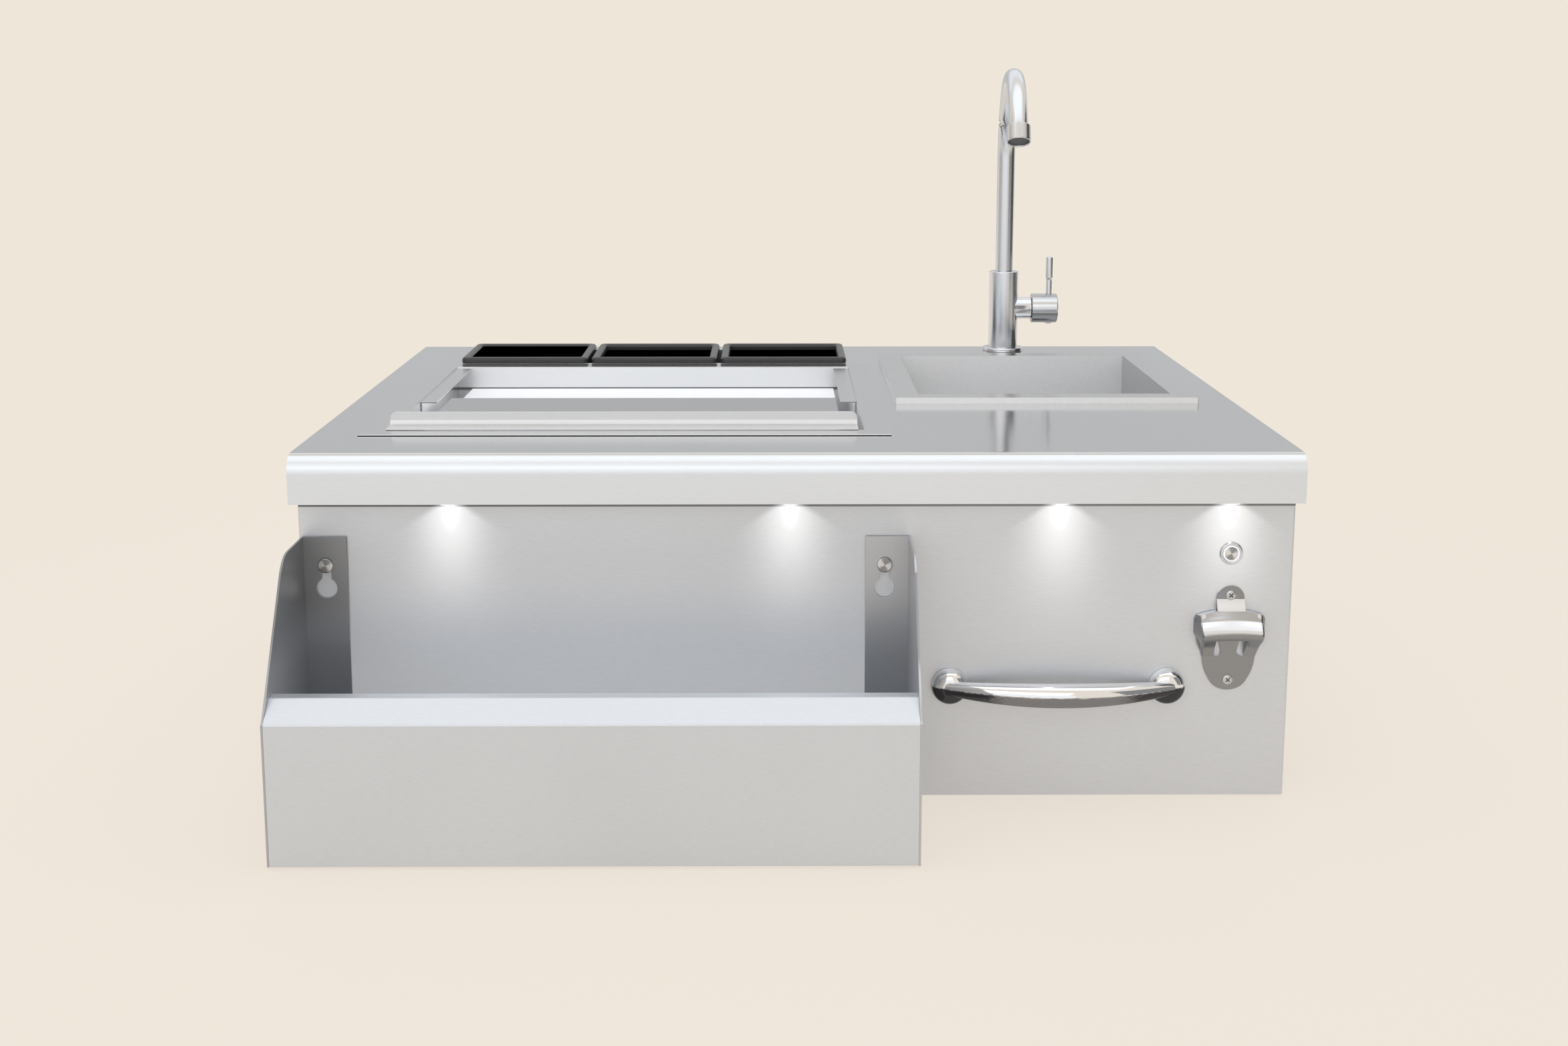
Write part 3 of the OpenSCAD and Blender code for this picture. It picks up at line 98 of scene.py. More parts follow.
# %% Camera
camera_data = bpy.data.cameras.new("Camera")
camera_data.lens = 45.57
camera_data.sensor_width = 36
camera_data.shift_y = -0.05
camera_data.clip_start = 0.05
camera = bpy.data.objects.new("Camera", camera_data)
camera.location = (-0.0187, -1.7569, 0.5484)
camera_tip = math.radians(10.465)
camera_turn = math.radians(0.332)
camera.rotation_euler = (math.pi / 2 - camera_tip, 0, -camera_turn)
bpy.context.scene.collection.objects.link(camera)
bpy.context.scene.camera = camera
print("camera", tuple(round(v, 3) for v in camera.location), "lens", camera_data.lens)

# %% [markdown]
# ## Room, lamps and floor
#
# Steel has almost no colour of its own. It shows what stands round it, so the lamps are big soft
# panels that the metal can mirror, one on each side. The backdrop is a warm pale beige that the eye,
# mirrors and glass see at full strength, while the light that falls on the object stays neutral.
#
# A few helpers come first. A node's inputs are given by name or number, and each one is either a plain
# value or another node's output, which is then linked.


# %% Node helpers
def feed(node, values):
    """Sets a node's inputs to plain values, or links them where the value is a socket."""
    for key, value in values.items():
        if isinstance(value, bpy.types.NodeSocket):
            node.id_data.links.new(value, node.inputs[key])
        else:
            node.inputs[key].default_value = value


def add_node(tree, kind, values=None, **settings):
    """Adds a node, sets its options, then feeds its inputs."""
    node = tree.nodes.new(kind)
    for key, value in settings.items():
        setattr(node, key, value)
    feed(node, values or {})
    return node


def tree_of(*values):
    """The node tree that the sockets among some values belong to."""
    return next(v.id_data for v in values if isinstance(v, bpy.types.NodeSocket))


def calc(operation, *values):
    """A math node on plain numbers and sockets, in the sockets' own tree."""
    inputs = dict(enumerate(values))
    return add_node(tree_of(*values), "ShaderNodeMath", inputs, operation=operation).outputs[0]


def spread(value, low, high, start=0.0, end=1.0, smooth=False):
    """Maps start to end onto low to high."""
    values = {"Value": value, "From Min": start, "From Max": end, "To Min": low, "To Max": high}
    kind = "SMOOTHSTEP" if smooth else "LINEAR"
    made = add_node(tree_of(value), "ShaderNodeMapRange", values, interpolation_type=kind)
    return made.outputs["Result"]


def mixed(share, first, second, blend="MIX"):
    """A colour mixed from two, or the first one multiplied by the second."""
    tree, values = tree_of(share, first, second), {0: share, 6: first, 7: second}
    return add_node(tree, "ShaderNodeMix", values, data_type="RGBA", blend_type=blend).outputs[2]


def object_part(tree, axis):
    """The X, Y or Z of the object's own frame, in metres."""
    spot = add_node(tree, "ShaderNodeTexCoord").outputs["Object"]
    return add_node(tree, "ShaderNodeSeparateXYZ", {0: spot}).outputs[axis]


def seen_rays(tree):
    """1 for what the camera, mirrors and glass look at, and 0 for the light that falls on things."""
    path = add_node(tree, "ShaderNodeLightPath")
    mirrored = calc("MAXIMUM", path.outputs["Is Camera Ray"], path.outputs["Is Glossy Ray"])
    return calc("MAXIMUM", mirrored, path.outputs["Is Transmission Ray"])


# %% World
BEIGE = (0.863, 0.791, 0.701, 1)
world = bpy.data.worlds.new("Studio")
bpy.context.scene.world = world
world.use_nodes = True
sky = world.node_tree
sky.nodes.clear()
fill = add_node(sky, "ShaderNodeBackground", {"Color": (0.9, 0.92, 0.95, 1), "Strength": 0.55})
backdrop = add_node(sky, "ShaderNodeBackground", {"Color": BEIGE, "Strength": 1.0})
either = {0: seen_rays(sky), 1: fill.outputs[0], 2: backdrop.outputs[0]}
pick = add_node(sky, "ShaderNodeMixShader", either)
add_node(sky, "ShaderNodeOutputWorld", {0: pick.outputs[0]})
print("backdrop", BEIGE[:3])


# %% Lamps
SOFT_WHITE = (0.985, 0.993, 1.0)


def flat_sheet(name, matrix, size):
    """A flat sheet of the room, outside the object. Gives the sheet and its empty node tree."""
    bm = bmesh.new()
    wide = matrix @ Matrix.Diagonal((*size, 1, 1))
    bmesh.ops.create_grid(bm, x_segments=1, y_segments=1, size=0.5, matrix=wide)
    sheet = mesh_object(name, bm)
    material = bpy.data.materials.new(name)
    material.use_nodes = True
    material.node_tree.nodes.clear()
    sheet.data.materials.append(material)
    return sheet, material.node_tree


def card(name, matrix, size, shade):
    """A flat card that only mirrors and glass see. It hides the backdrop behind it."""
    sheet, tree = flat_sheet(name, matrix, size)
    glow = add_node(tree, "ShaderNodeEmission", {"Color": (shade, shade, shade, 1)})
    add_node(tree, "ShaderNodeOutputMaterial", {0: glow.outputs[0]})
    sheet.visible_camera = sheet.visible_diffuse = sheet.visible_shadow = False


def facing(place, aim):
    """The turn and place of something at place whose -Z side faces aim."""
    turn = (Vector(aim) - Vector(place)).to_track_quat("-Z", "Y")
    return Matrix.Translation(place) @ turn.to_matrix().to_4x4()


def soft_panel(name, place, aim, size, glow):
    """A lamp panel that faces aim. glow is how bright the panel itself looks, where 1 is white."""
    data = bpy.data.lights.new(name, "AREA")
    data.shape = "RECTANGLE"
    data.size, data.size_y = size
    data.color = SOFT_WHITE
    data.energy = glow * math.pi * size[0] * size[1]
    lamp = bpy.data.objects.new(name, data)
    lamp.matrix_world = facing(place, aim)
    lamp.visible_camera = False
    bpy.context.scene.collection.objects.link(lamp)
    card(name + "_back", facing(place, aim) @ Matrix.Translation((0, 0, 0.02)), size, 0.0)


middle = (0, 0, 0.2)
soft_panel("Top_panel", (0, -0.1, 2.4), middle, (3.2, 2.0), 1.3)
soft_panel("Front_softbox", (-0.6, -2.7, 1.8), middle, (3.0, 1.3), 1.55)
soft_panel("Low_front_light", (-0.9, -2.7, 0.45), (-0.9, 0, 0.45), (3.4, 0.9), 1.0)
soft_panel("Left_panel", (-2.8, -0.2, 1.0), (0, -0.2, 0.6), (3.0, 2.0), 0.5)
soft_panel("Right_panel", (2.8, 0.2, 1.0), (0, 0.2, 0.6), (2.4, 2.0), 0.5)
soft_panel("Back_panel_light", (0, 3.0, 0.85), middle, (4.4, 1.5), 0.6)
soft_panel("High_back_light", (0, 2.5, 2.3), middle, (4.0, 1.5), 1.0)
card("Right_flag", facing((2.4, 0.5, 0.8), (0, 0.5, 0.8)), (2.3, 1.6), 0.03)
card("Front_right_card", facing((2.2, -1.5, 0.9), (0.2, 0.2, 0.5)), (1.5, 1.8), 0.25)

# %% [markdown]
# The floor takes shadows close to the object and melts into the backdrop further out, so that no
# horizon shows. It lies a hair below the object, whose underside would otherwise flicker with it.

# %% Floor
floor, tree = flat_sheet("Floor", Matrix.Translation((0, 0, -0.0008)), (24, 24))
lit = add_node(tree, "ShaderNodeBsdfDiffuse", {"Color": BEIGE})
plain = add_node(tree, "ShaderNodeEmission", {"Color": BEIGE, "Strength": 1.0})
here = add_node(tree, "ShaderNodeTexCoord").outputs["Object"]
away = add_node(tree, "ShaderNodeVectorMath", {0: here}, operation="LENGTH").outputs["Value"]
far = spread(away, 0.8, 1.0, 0.55, 1.6, smooth=True)
either = {0: calc("MULTIPLY", seen_rays(tree), far), 1: lit.outputs[0], 2: plain.outputs[0]}
pick = add_node(tree, "ShaderNodeMixShader", either)
add_node(tree, "ShaderNodeOutputMaterial", {0: pick.outputs[0]})
print("floor", floor.dimensions.x, "m wide")

# %% [markdown]
# ## Finishes
#
# Brushed steel is fine parallel scratches, so its grain is a noise that is pulled out long in one
# direction. A node group makes it once, and each steel gets its own direction and strength. A second
# output gives the broad, faint clouds that handling leaves on any sheet.


# %% Grain group
def new_group(name, label, kind, value, *outputs):
    """A shader node group with one input and some number outputs."""
    group = bpy.data.node_groups.new(name, "ShaderNodeTree")
    socket = group.interface.new_socket(label, in_out="INPUT", socket_type=kind)
    socket.default_value = value
    for label in outputs:
        group.interface.new_socket(label, in_out="OUTPUT", socket_type="NodeSocketFloat")
    return group, group.nodes.new("NodeGroupInput"), group.nodes.new("NodeGroupOutput")


grain_group, source, result = new_group(
    "Brushed grain", "Stretch", "NodeSocketVector", (6, 900, 900), "Lines", "Clouds"
)
where = add_node(grain_group, "ShaderNodeTexCoord").outputs["Object"]
pull = {0: where, 1: source.outputs["Stretch"]}
pulled = add_node(grain_group, "ShaderNodeVectorMath", pull, operation="MULTIPLY").outputs[0]
fine = {"Vector": pulled, "Scale": 1.0, "Detail": 3.0, "Roughness": 0.6}
broad = {"Vector": where, "Scale": 5.0, "Detail": 2.0, "Roughness": 0.5}
for label, noise in (("Lines", fine), ("Clouds", broad)):
    made = add_node(grain_group, "ShaderNodeTexNoise", noise)
    feed(result, {label: made.outputs["Fac"]})
print("grain group with", len(grain_group.nodes), "nodes")


# %% Finish helpers
def finish(name, values):
    """A material with a Principled BSDF and nothing else yet."""
    material = bpy.data.materials.new(name)
    material.use_nodes = True
    feed(shader_of(material), values)
    return material


def shader_of(material):
    """The material's Principled BSDF."""
    return material.node_tree.nodes["Principled BSDF"]


def brushed(name, colour, rough, stretch, contrast=0.05, cloud=0.03, bump=0.12, metallic=1.0):
    """Steel, or a plastic when metallic is 0, with a grain, faint clouds and a fine bump."""
    material = finish(name, {"Metallic": metallic})
    tree = material.node_tree
    grain = add_node(tree, "ShaderNodeGroup", {"Stretch": stretch}, node_tree=grain_group)
    total = contrast + cloud
    lines = calc("MULTIPLY", grain.outputs["Lines"], contrast / total)
    both = calc("MULTIPLY_ADD", grain.outputs["Clouds"], cloud / total, lines)
    dark = [c * (1 - 2 * total) for c in colour]
    light = [min(1, c * (1 + 2 * total)) for c in colour]
    tint = mixed(both, (*dark, 1), (*light, 1))
    dull = spread(both, max(0.03, rough - 0.06), rough + 0.06)
    feed(shader_of(material), {"Base Color": tint, "Roughness": dull})
    if bump:
        values = {"Height": grain.outputs["Lines"], "Strength": bump, "Distance": 0.0002}
        raised = add_node(tree, "ShaderNodeBump", values)
        feed(shader_of(material), {"Normal": raised.outputs["Normal"]})
    return material


# %% [markdown]
# Every sheet of the unit is the same stainless steel, but each one is brushed its own way and stands in
# its own light. So each gets its own tone, which paints in the light and shade it stands in, and its own
# roughness and grain: along the sheet, upright on turned and standing parts, or even in all directions on
# polished and moulded ones. Some parts get lit and shaded copies of one steel: the two rail ends, the
# sink's side walls, the bin's collar and the opener's three tones.

# %% Finishes by name
STEEL = (0.675, 0.682, 0.695)
ACROSS = (170, 2300, 2300)
UPRIGHT = (2300, 2300, 170)
EVEN = (900, 900, 900)
WELDED = (260, 260, 260)
deck_steel = brushed("Deck steel", STEEL, 0.11, ACROSS, 0.03, 0.015, 0.06)
panel_steel = brushed("Front panel steel", (0.675, 0.698, 0.735), 0.4, ACROSS, 0.05, 0.025, metallic=0.75)
hidden_steel = brushed("Side and back steel", (0.62, 0.64, 0.67), 0.4, ACROSS, metallic=0.85)
brace_steel = brushed("Plain zinc steel", (0.5, 0.51, 0.53), 0.45, EVEN)
rail_steel = brushed("Rail steel", (0.668, 0.695, 0.733), 0.38, ACROSS, 0.05, 0.025, metallic=0.75)
# Painted shade: both rail ends are darker copies of the steel, the left one darker still.
left_end_shaded_steel = brushed("Left rail end steel in painted shade", (0.46, 0.47, 0.49), 0.34, UPRIGHT, 0.04, metallic=0.8)
right_end_shaded_steel = brushed("Right rail end steel in painted shade", (0.54, 0.55, 0.57), 0.36, UPRIGHT, 0.04, metallic=0.8)
frame_steel = brushed("Bin frame steel", STEEL, 0.2, ACROSS, 0.02, 0.015, 0.06)
# Painted light: the bin's collar is a lighter, less metallic copy of the frame's steel.
collar_lit_steel = brushed("Bin collar steel in painted light", (0.92, 0.935, 0.96), 0.4, ACROSS, 0.02, 0.04, metallic=0.4)
lid_steel = brushed("Lid steel", (0.565, 0.57, 0.58), 0.22, ACROSS, 0.03, 0.02)
sink_steel = brushed("Sink steel", (0.945, 0.955, 0.97), 0.42, WELDED, 0.04, metallic=0.55)
# Painted shade: the sink's inner side walls get a darker copy of its steel.
sink_side_shaded_steel = brushed("Sink side steel in painted shade", (0.55, 0.555, 0.565), 0.4, WELDED, metallic=0.7)
tap_steel = brushed("Tap steel", (0.76, 0.785, 0.83), 0.2, UPRIGHT, 0.03, 0.02, 0.05)
spout_steel = brushed("Spout steel", (0.74, 0.765, 0.805), 0.24, EVEN, 0.03, 0.02, 0.03)
hub_steel = brushed("Hub steel", (0.7, 0.71, 0.725), 0.24, ACROSS, 0.03, 0.02, 0.05)
barrel_steel = brushed("Barrel steel", (0.7, 0.72, 0.75), 0.22, ACROSS, 0.03, 0.02, 0.05)
bright_steel = brushed("Polished steel", (0.72, 0.73, 0.75), 0.14, EVEN, bump=0.03)
# Painted light and shade: one casting's steel in shade, in half light and in highlight.
opener_shaded_steel = brushed("Opener steel in painted shade", (0.3, 0.305, 0.32), 0.24, EVEN, 0.04, 0.05, 0.03)
opener_half_lit_steel = brushed("Opener steel in painted half light", (0.5, 0.51, 0.53), 0.2, EVEN, 0.04, 0.05, 0.03)
opener_highlit_steel = brushed("Opener steel with painted highlight", (0.8, 0.82, 0.86), 0.18, EVEN, 0.03, 0.03, 0.03)
screw_steel = brushed("Screw steel", (0.6, 0.61, 0.625), 0.3, EVEN, bump=0.05)
liner_white_painted_light = brushed("Liner white with painted light", (0.93, 0.935, 0.94), 0.35, EVEN, 0.01, 0.02, 0.03, 0)
foam = brushed("Foam", (0.78, 0.72, 0.52), 0.85, (300, 300, 300), 0.05, 0.05, 0.6, 0)
pan_black = brushed("Pan black", (0.035, 0.035, 0.037), 0.3, EVEN, 0.1, 0.06, 0.1, 0)
black_plastic = brushed("Black plastic", (0.03, 0.03, 0.032), 0.5, EVEN, 0.1, 0.05, 0.2, 0)
cable_black = brushed("Cable black", (0.025, 0.025, 0.026), 0.6, EVEN, 0.08, 0.05, 0.1, 0)
# Rubber, and also the black of a painted shadow line along the bin frame's flange.
rubber_and_shadow_line = brushed("Rubber and painted shadow line", (0.035, 0.035, 0.036), 0.7, EVEN, 0.1, 0.05, 0.25, 0)
drain_plastic = brushed("Drain plastic", (0.75, 0.76, 0.77), 0.4, EVEN, 0.02, 0.02, 0.05, 0)
aerator_grey_and_recess_shade = brushed("Aerator grey and painted recess shade", (0.12, 0.125, 0.13), 0.5, EVEN, 0.1, 0.05, 0.1, 0)
cartridge_cream = brushed("Cartridge cream", (0.7, 0.69, 0.6), 0.5, EVEN, 0.02, 0.02, 0.1, 0)
print(len(bpy.data.materials), "materials so far")

# %% [markdown]
# Some finishes change with height. A wall of the room or a fold of the sheet darkens one band of a part
# and lights another, and the lamp panels alone can't do that for every part at once, so most of these
# bands are painted shade and painted highlights in the colour. The deck's apron is seen straight on; its
# scratches make it rougher than the flat top, and its colour is lightened as a painted highlight. The
# sink's flat rim is smoother than its bowl. Each band is placed from its part's own edges, so it moves
# with the part.


# %% Finishes that change with height
def sockets_of(material):
    """What feeds a finish's colour and roughness."""
    inputs = shader_of(material).inputs
    return [inputs[key].links[0].from_socket for key in ("Base Color", "Roughness")]


def tinted(material, tone, share=1.0):
    """Multiplies a finish's colour by a tone, wholly or by a share."""
    colour = mixed(share, sockets_of(material)[0], tone, "MULTIPLY")
    feed(shader_of(material), {"Base Color": colour})


def roughened(material, amount, share):
    """Adds a share of an amount to a finish's roughness."""
    dull = calc("MULTIPLY_ADD", share, amount, sockets_of(material)[1])
    feed(shader_of(material), {"Roughness": dull})


def by_height(material, low, high, start, end):
    """Runs from low to high between two heights, in mm."""
    level = calc("MULTIPLY", object_part(material.node_tree, "Z"), 1000.0)
    return spread(level, low, high, start, end, smooth=True)


def banded(material, low, high, start, end):
    """Multiplies a finish's colour by a tone that runs from low to high between two heights."""
    tinted(material, by_height(material, low, high, start, end))


APRON_FOOT, DECK_TOP = (corner.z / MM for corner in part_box("deck"))
apron = by_height(deck_steel, 1.0, 0.0, DECK_TOP - 3.5, DECK_TOP - 0.2)
rolled = by_height(deck_steel, 1.0, 0.0, DECK_TOP - 3.5, DECK_TOP - 0.4)
# Painted highlight: below the flat top, the deck's colour is lighter and cooler.
tinted(deck_steel, (1.17, 1.21, 1.26, 1), apron)
roughened(deck_steel, 0.3, rolled)
# Painted shadow: the panel is much darker from just below the apron's foot upwards.
banded(panel_steel, 1.0, 0.3, APRON_FOOT - 5.6, APRON_FOOT - 4.6)
COLLAR_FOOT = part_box("ice_frame")[0].z / MM
# Painted shade: the collar darkens at its foot, where it meets the liner.
banded(collar_lit_steel, 0.18, 1.0, COLLAR_FOOT + 0.9, COLLAR_FOOT + 1.7)
END_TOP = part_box("rail_left_end")[1].z / MM
# Painted shade: the left rail end is darker towards its top.
banded(left_end_shaded_steel, 1.0, 0.62, END_TOP - 82, END_TOP - 42)
HUB_LEVEL = centre_of("tap_hub").z / MM
# Painted shade: the hub's barrel is darker on its lower side and a little darker along its top.
banded(barrel_steel, 1.0, 0.42, HUB_LEVEL - 2.0, HUB_LEVEL - 4.5)
banded(barrel_steel, 1.0, 0.7, HUB_LEVEL + 9.0, HUB_LEVEL + 12.0)
LID_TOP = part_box("ice_lid")[1].z / MM
# Painted highlight: the lid's handle is lighter than its flat top, and also rougher.
banded(lid_steel, 0.92, 1.32, LID_TOP - 12.5, LID_TOP - 11.5)
roughened(lid_steel, 0.22, by_height(lid_steel, 0.0, 1.0, LID_TOP - 12.5, LID_TOP - 11.5))
PAN_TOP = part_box("left_pan")[1].z / MM
# Painted light: the pans are much lighter below their rims than on them.
banded(pan_black, 3.2, 0.9, PAN_TOP - 9.0, PAN_TOP - 4.0)
RIM_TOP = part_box("sink_bowl")[1].z / MM
flat_rim = by_height(sink_steel, 0.0, 1.0, RIM_TOP - 0.3, RIM_TOP - 0.1)
tinted(sink_steel, (0.74, 0.74, 0.745, 1), flat_rim)
roughened(sink_steel, -0.18, flat_rim)
feed(shader_of(sink_steel), {"Metallic": spread(flat_rim, 0.55, 1.0)})
print("deck top", round(DECK_TOP, 2), "lid top", round(LID_TOP, 2), "rim top", round(RIM_TOP, 2))

# %% [markdown]
# Chrome mirrors whatever stands below it. Over a pale floor its underside would look the same as its top,
# so a dark lower half is mixed into its colour as a painted reflection of a darker floor. Its upper edge
# wanders a little with a noise, and it is darkest at the bar's ends, which curve in towards the panel.

# %% Chrome
BAR = centre_of("towel_bar") / MM
RIPPLE = 1.8
chrome = brushed("Chrome", (0.88, 0.89, 0.91), 0.07, EVEN, 0.01, 0.01, 0)
tree = chrome.node_tree
bar_low, bar_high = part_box("towel_bar")
spot = add_node(tree, "ShaderNodeTexCoord").outputs["Object"]
for operation, amount in (("SUBTRACT", bar_low), ("DIVIDE", bar_high - bar_low)):
    spot = add_node(tree, "ShaderNodeVectorMath", {0: spot, 1: amount}, operation=operation).outputs[0]
noise = {"Vector": spot, "Scale": 28.0, "Detail": 1.0}
patches = add_node(tree, "ShaderNodeTexNoise", noise).outputs["Fac"]
level = calc("MULTIPLY_ADD", object_part(tree, "Z"), 1000.0, -BAR.z - RIPPLE / 2)
level = calc("MULTIPLY_ADD", patches, RIPPLE, level)
below = spread(level, 1.0, 0.0, 0.2, 1.6, smooth=True)
from_middle = calc("SUBTRACT", object_part(tree, "X"), BAR.x * MM)
from_middle = calc("MULTIPLY_ADD", patches, 0.03, calc("ABSOLUTE", from_middle))
at_ends = spread(from_middle, 0.0, 1.0, 0.058, 0.075, smooth=True)
# Painted reflection: the bar's lower half is darkened, most at its ends.
tinted(chrome, mixed(at_ends, (0.27, 0.27, 0.285, 1), (0.07, 0.07, 0.075, 1)), below)
print("chrome with", len(tree.nodes), "nodes")

# %% [markdown]
# A part that was turned on a lathe keeps rings of fine tool marks. Light catches them in two bright
# sectors, like an hourglass. The sectors are a painted highlight, drawn round the part's own middle, in
# its colour. Two studs share one finish, and each point takes the stud that is nearer.


# %% Spun finish with painted highlight
def spun(name, colour, rough, level, *middles):
    """Steel with painted highlight sectors round middles on one level: a height and some places across.
    """
    material = brushed(name, colour, rough, EVEN, 0.03, 0.02, 0.03)
    tree = material.node_tree
    offsets = [calc("SUBTRACT", object_part(tree, "X"), x) for x in middles]
    across = offsets[0]
    for other in offsets[1:]:
        nearer = calc("LESS_THAN", calc("ABSOLUTE", other), calc("ABSOLUTE", across))
        across = add_node(tree, "ShaderNodeMix", {0: nearer, 2: across, 3: other}).outputs[0]
    up = calc("SUBTRACT", object_part(tree, "Z"), level)
    angle = calc("ARCTAN2", up, across)
    wave = calc("COSINE", calc("MULTIPLY_ADD", angle, 2.0, 0.6))
    # Painted highlight: two light and two darker sectors round each middle.
    tinted(material, spread(wave, 0.42, 1.0, -0.7, 0.9, smooth=True))
    return material


left_low, left_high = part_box("rail_left_end")
stud_level = left_high.z - 21.8 * MM
stud_places = left_low.x + 18 * MM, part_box("rail_right_end")[1].x - 19.5 * MM
stud_sector_highlight = spun("Spun stud with painted highlight", (0.7, 0.71, 0.73), 0.24, stud_level, *stud_places)
button_spot = centre_of("switch_button")
button_sector_highlight = spun("Spun button with painted highlight", (0.8, 0.81, 0.83), 0.22, button_spot.z, button_spot.x)
print("studs at", [round(x, 4) for x in stud_places], "button at", round(button_spot.x, 4))

# %% [markdown]
# The lenses and the switch's ring are lit from inside, so they glow. The lamp housings and the bin's
# liner glow faintly as painted light, because both are white hollows that soft lamps outside can't reach
# into.

# %% Lit finishes
WARM_WHITE, COOL_WHITE = (1, 1, 0.98, 1), (0.9, 0.93, 1, 1)
lamp_white = finish("Lamp white", {"Metallic": 0.0, "Roughness": 0.4, "Base Color": WARM_WHITE})
ring_white = finish("Lit ring white", {"Metallic": 0.0, "Roughness": 0.35, "Base Color": COOL_WHITE})
housing_white_painted_light = brushed("Lamp housing white with painted light", (0.9, 0.9, 0.89), 0.4, EVEN, 0.02, 0.02, 0.03, 0)
# Painted light: the lamp housings and the liner glow, though neither is a lamp.
for material, colour, strength in (
    (lamp_white, WARM_WHITE, 2.0),
    (housing_white_painted_light, WARM_WHITE, 0.7),
    (ring_white, (0.93, 0.96, 1, 1), 0.3),
    (liner_white_painted_light, (0.97, 0.98, 1, 1), 0.18),
):
    glow = {"Emission Color": colour, "Emission Strength": strength}
    feed(shader_of(material), glow)
    print(material.name, "glows at", strength)

# %% [markdown]
# Each apron lamp throws a bright core and a wide, soft cone down the front panel. Real lamps of that size
# would be noisy and would burn out the panel, so the cones are painted light: a weak glow of the panel
# itself. One group draws a cone from its lamp's place, and the panel adds up four of them, on top of a
# weak painted light low down behind the bottle rail.

# %% Lamp glow on the front panel
glow_group, source, result = new_group("Lamp glow", "Middle", "NodeSocketFloat", 0.0, "Glow")
offset = calc("SUBTRACT", object_part(glow_group, "X"), source.outputs["Middle"])
aside = calc("MULTIPLY", calc("ABSOLUTE", offset), 1000.0)
drop = calc("MULTIPLY_ADD", object_part(glow_group, "Z"), -1000.0, APRON_FOOT)


def bell(value, width):
    """1 in the middle, falling off past width."""
    share = calc("POWER", calc("DIVIDE", value, width), 2.0)
    return calc("EXPONENT", calc("MULTIPLY", share, -1.0))


beam = bell(aside, calc("MULTIPLY_ADD", drop, 0.14, 19.5))
fade = bell(calc("MAXIMUM", drop, 0.0), 58.0)
edge = calc("SUBTRACT", calc("MULTIPLY_ADD", drop, 1.5, 4.0), aside)
cone = spread(edge, 0.0, 1.0, -5.0, 6.0, smooth=True)
wide = calc("MULTIPLY", calc("MULTIPLY", beam, fade), cone)
core = bell(aside, calc("MULTIPLY_ADD", drop, -0.05, 5.0))
core_fade = spread(drop, 1.0, 0.0, 1.0, 27.0, smooth=True)
hot = calc("MULTIPLY", calc("MULTIPLY", core, core_fade), 0.48)
feed(result, {"Glow": calc("MULTIPLY_ADD", wide, 0.44, hot)})

tree = panel_steel.node_tree
# Painted light: a weak glow low on the panel's front face, from its left side to the end of the bottle
# rail.
beside = spread(object_part(tree, "X"), 1.0, 0.0, 0.05, 0.09, smooth=True)
deeper = spread(object_part(tree, "Z"), 0.24, 0.0, 0.08, 0.2, smooth=True)
panel_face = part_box("front_panel")[0].y
on_front = spread(object_part(tree, "Y"), 1.0, 0.0, panel_face + 0.3 * MM, panel_face + 0.8 * MM)
glow = calc("MULTIPLY", calc("MULTIPLY", beside, deeper), on_front)
lens_spots = (-0.2625, -0.0057, 0.1987, 0.3274)
for x in lens_spots:
    one = add_node(tree, "ShaderNodeGroup", {"Middle": x}, node_tree=glow_group)
    glow = calc("ADD", glow, one.outputs[0])
feed(shader_of(panel_steel), {"Emission Color": glow, "Emission Strength": 1.0})
print(len(lens_spots), "lamp cones and", len(bpy.data.materials), "materials")

# %% [markdown]
# ## Making sheet metal look formed
#
# The CAD model has knife-sharp edges and rounds them with flat facets. Real sheet is bent and deburred,
# so each edge catches a thin line of light. A copy of the CAD mesh is merged into a closed skin, its
# bends are cut finer and moved out onto their true radius, and then every sharp edge gets a small bevel.
# Modelling the sheets again from nothing would risk moving them, and a live Bevel modifier can't tell a
# wide fold from the thin rim of a sheet.


def mm(*values):
    """A point given in millimetres."""
    return Vector(values) * MM


def even_shading(data, sharp):
    """Shades each corner by the faces round it that meet softly, each counted by its size.

    Blender's own smooth shading counts a thin bevel as much as the wide face beside it, which makes flat
    sheets look dented.
    """
    limit = math.cos(math.radians(sharp))
    faces_at = [[] for _ in data.vertices]
    for face in data.polygons:
        for v in face.vertices:
            faces_at[v].append((face.normal, face.area))
    normals = []
    for face in data.polygons:
        for v in face.vertices:
            total = sum((n * area for n, area in faces_at[v] if n.dot(face.normal) > limit), Vector())
            normals.append(total.normalized() if total.length else face.normal)
    data.normals_split_custom_set(normals)


dressed = set()


def wear(node, material):
    """Gives a CAD node a finish through its material slots."""
    dressed.add(node)
    slots = cad_nodes[node].data.materials
    for i in range(len(slots)):
        slots[i] = material
    if not slots:
        slots.append(material)


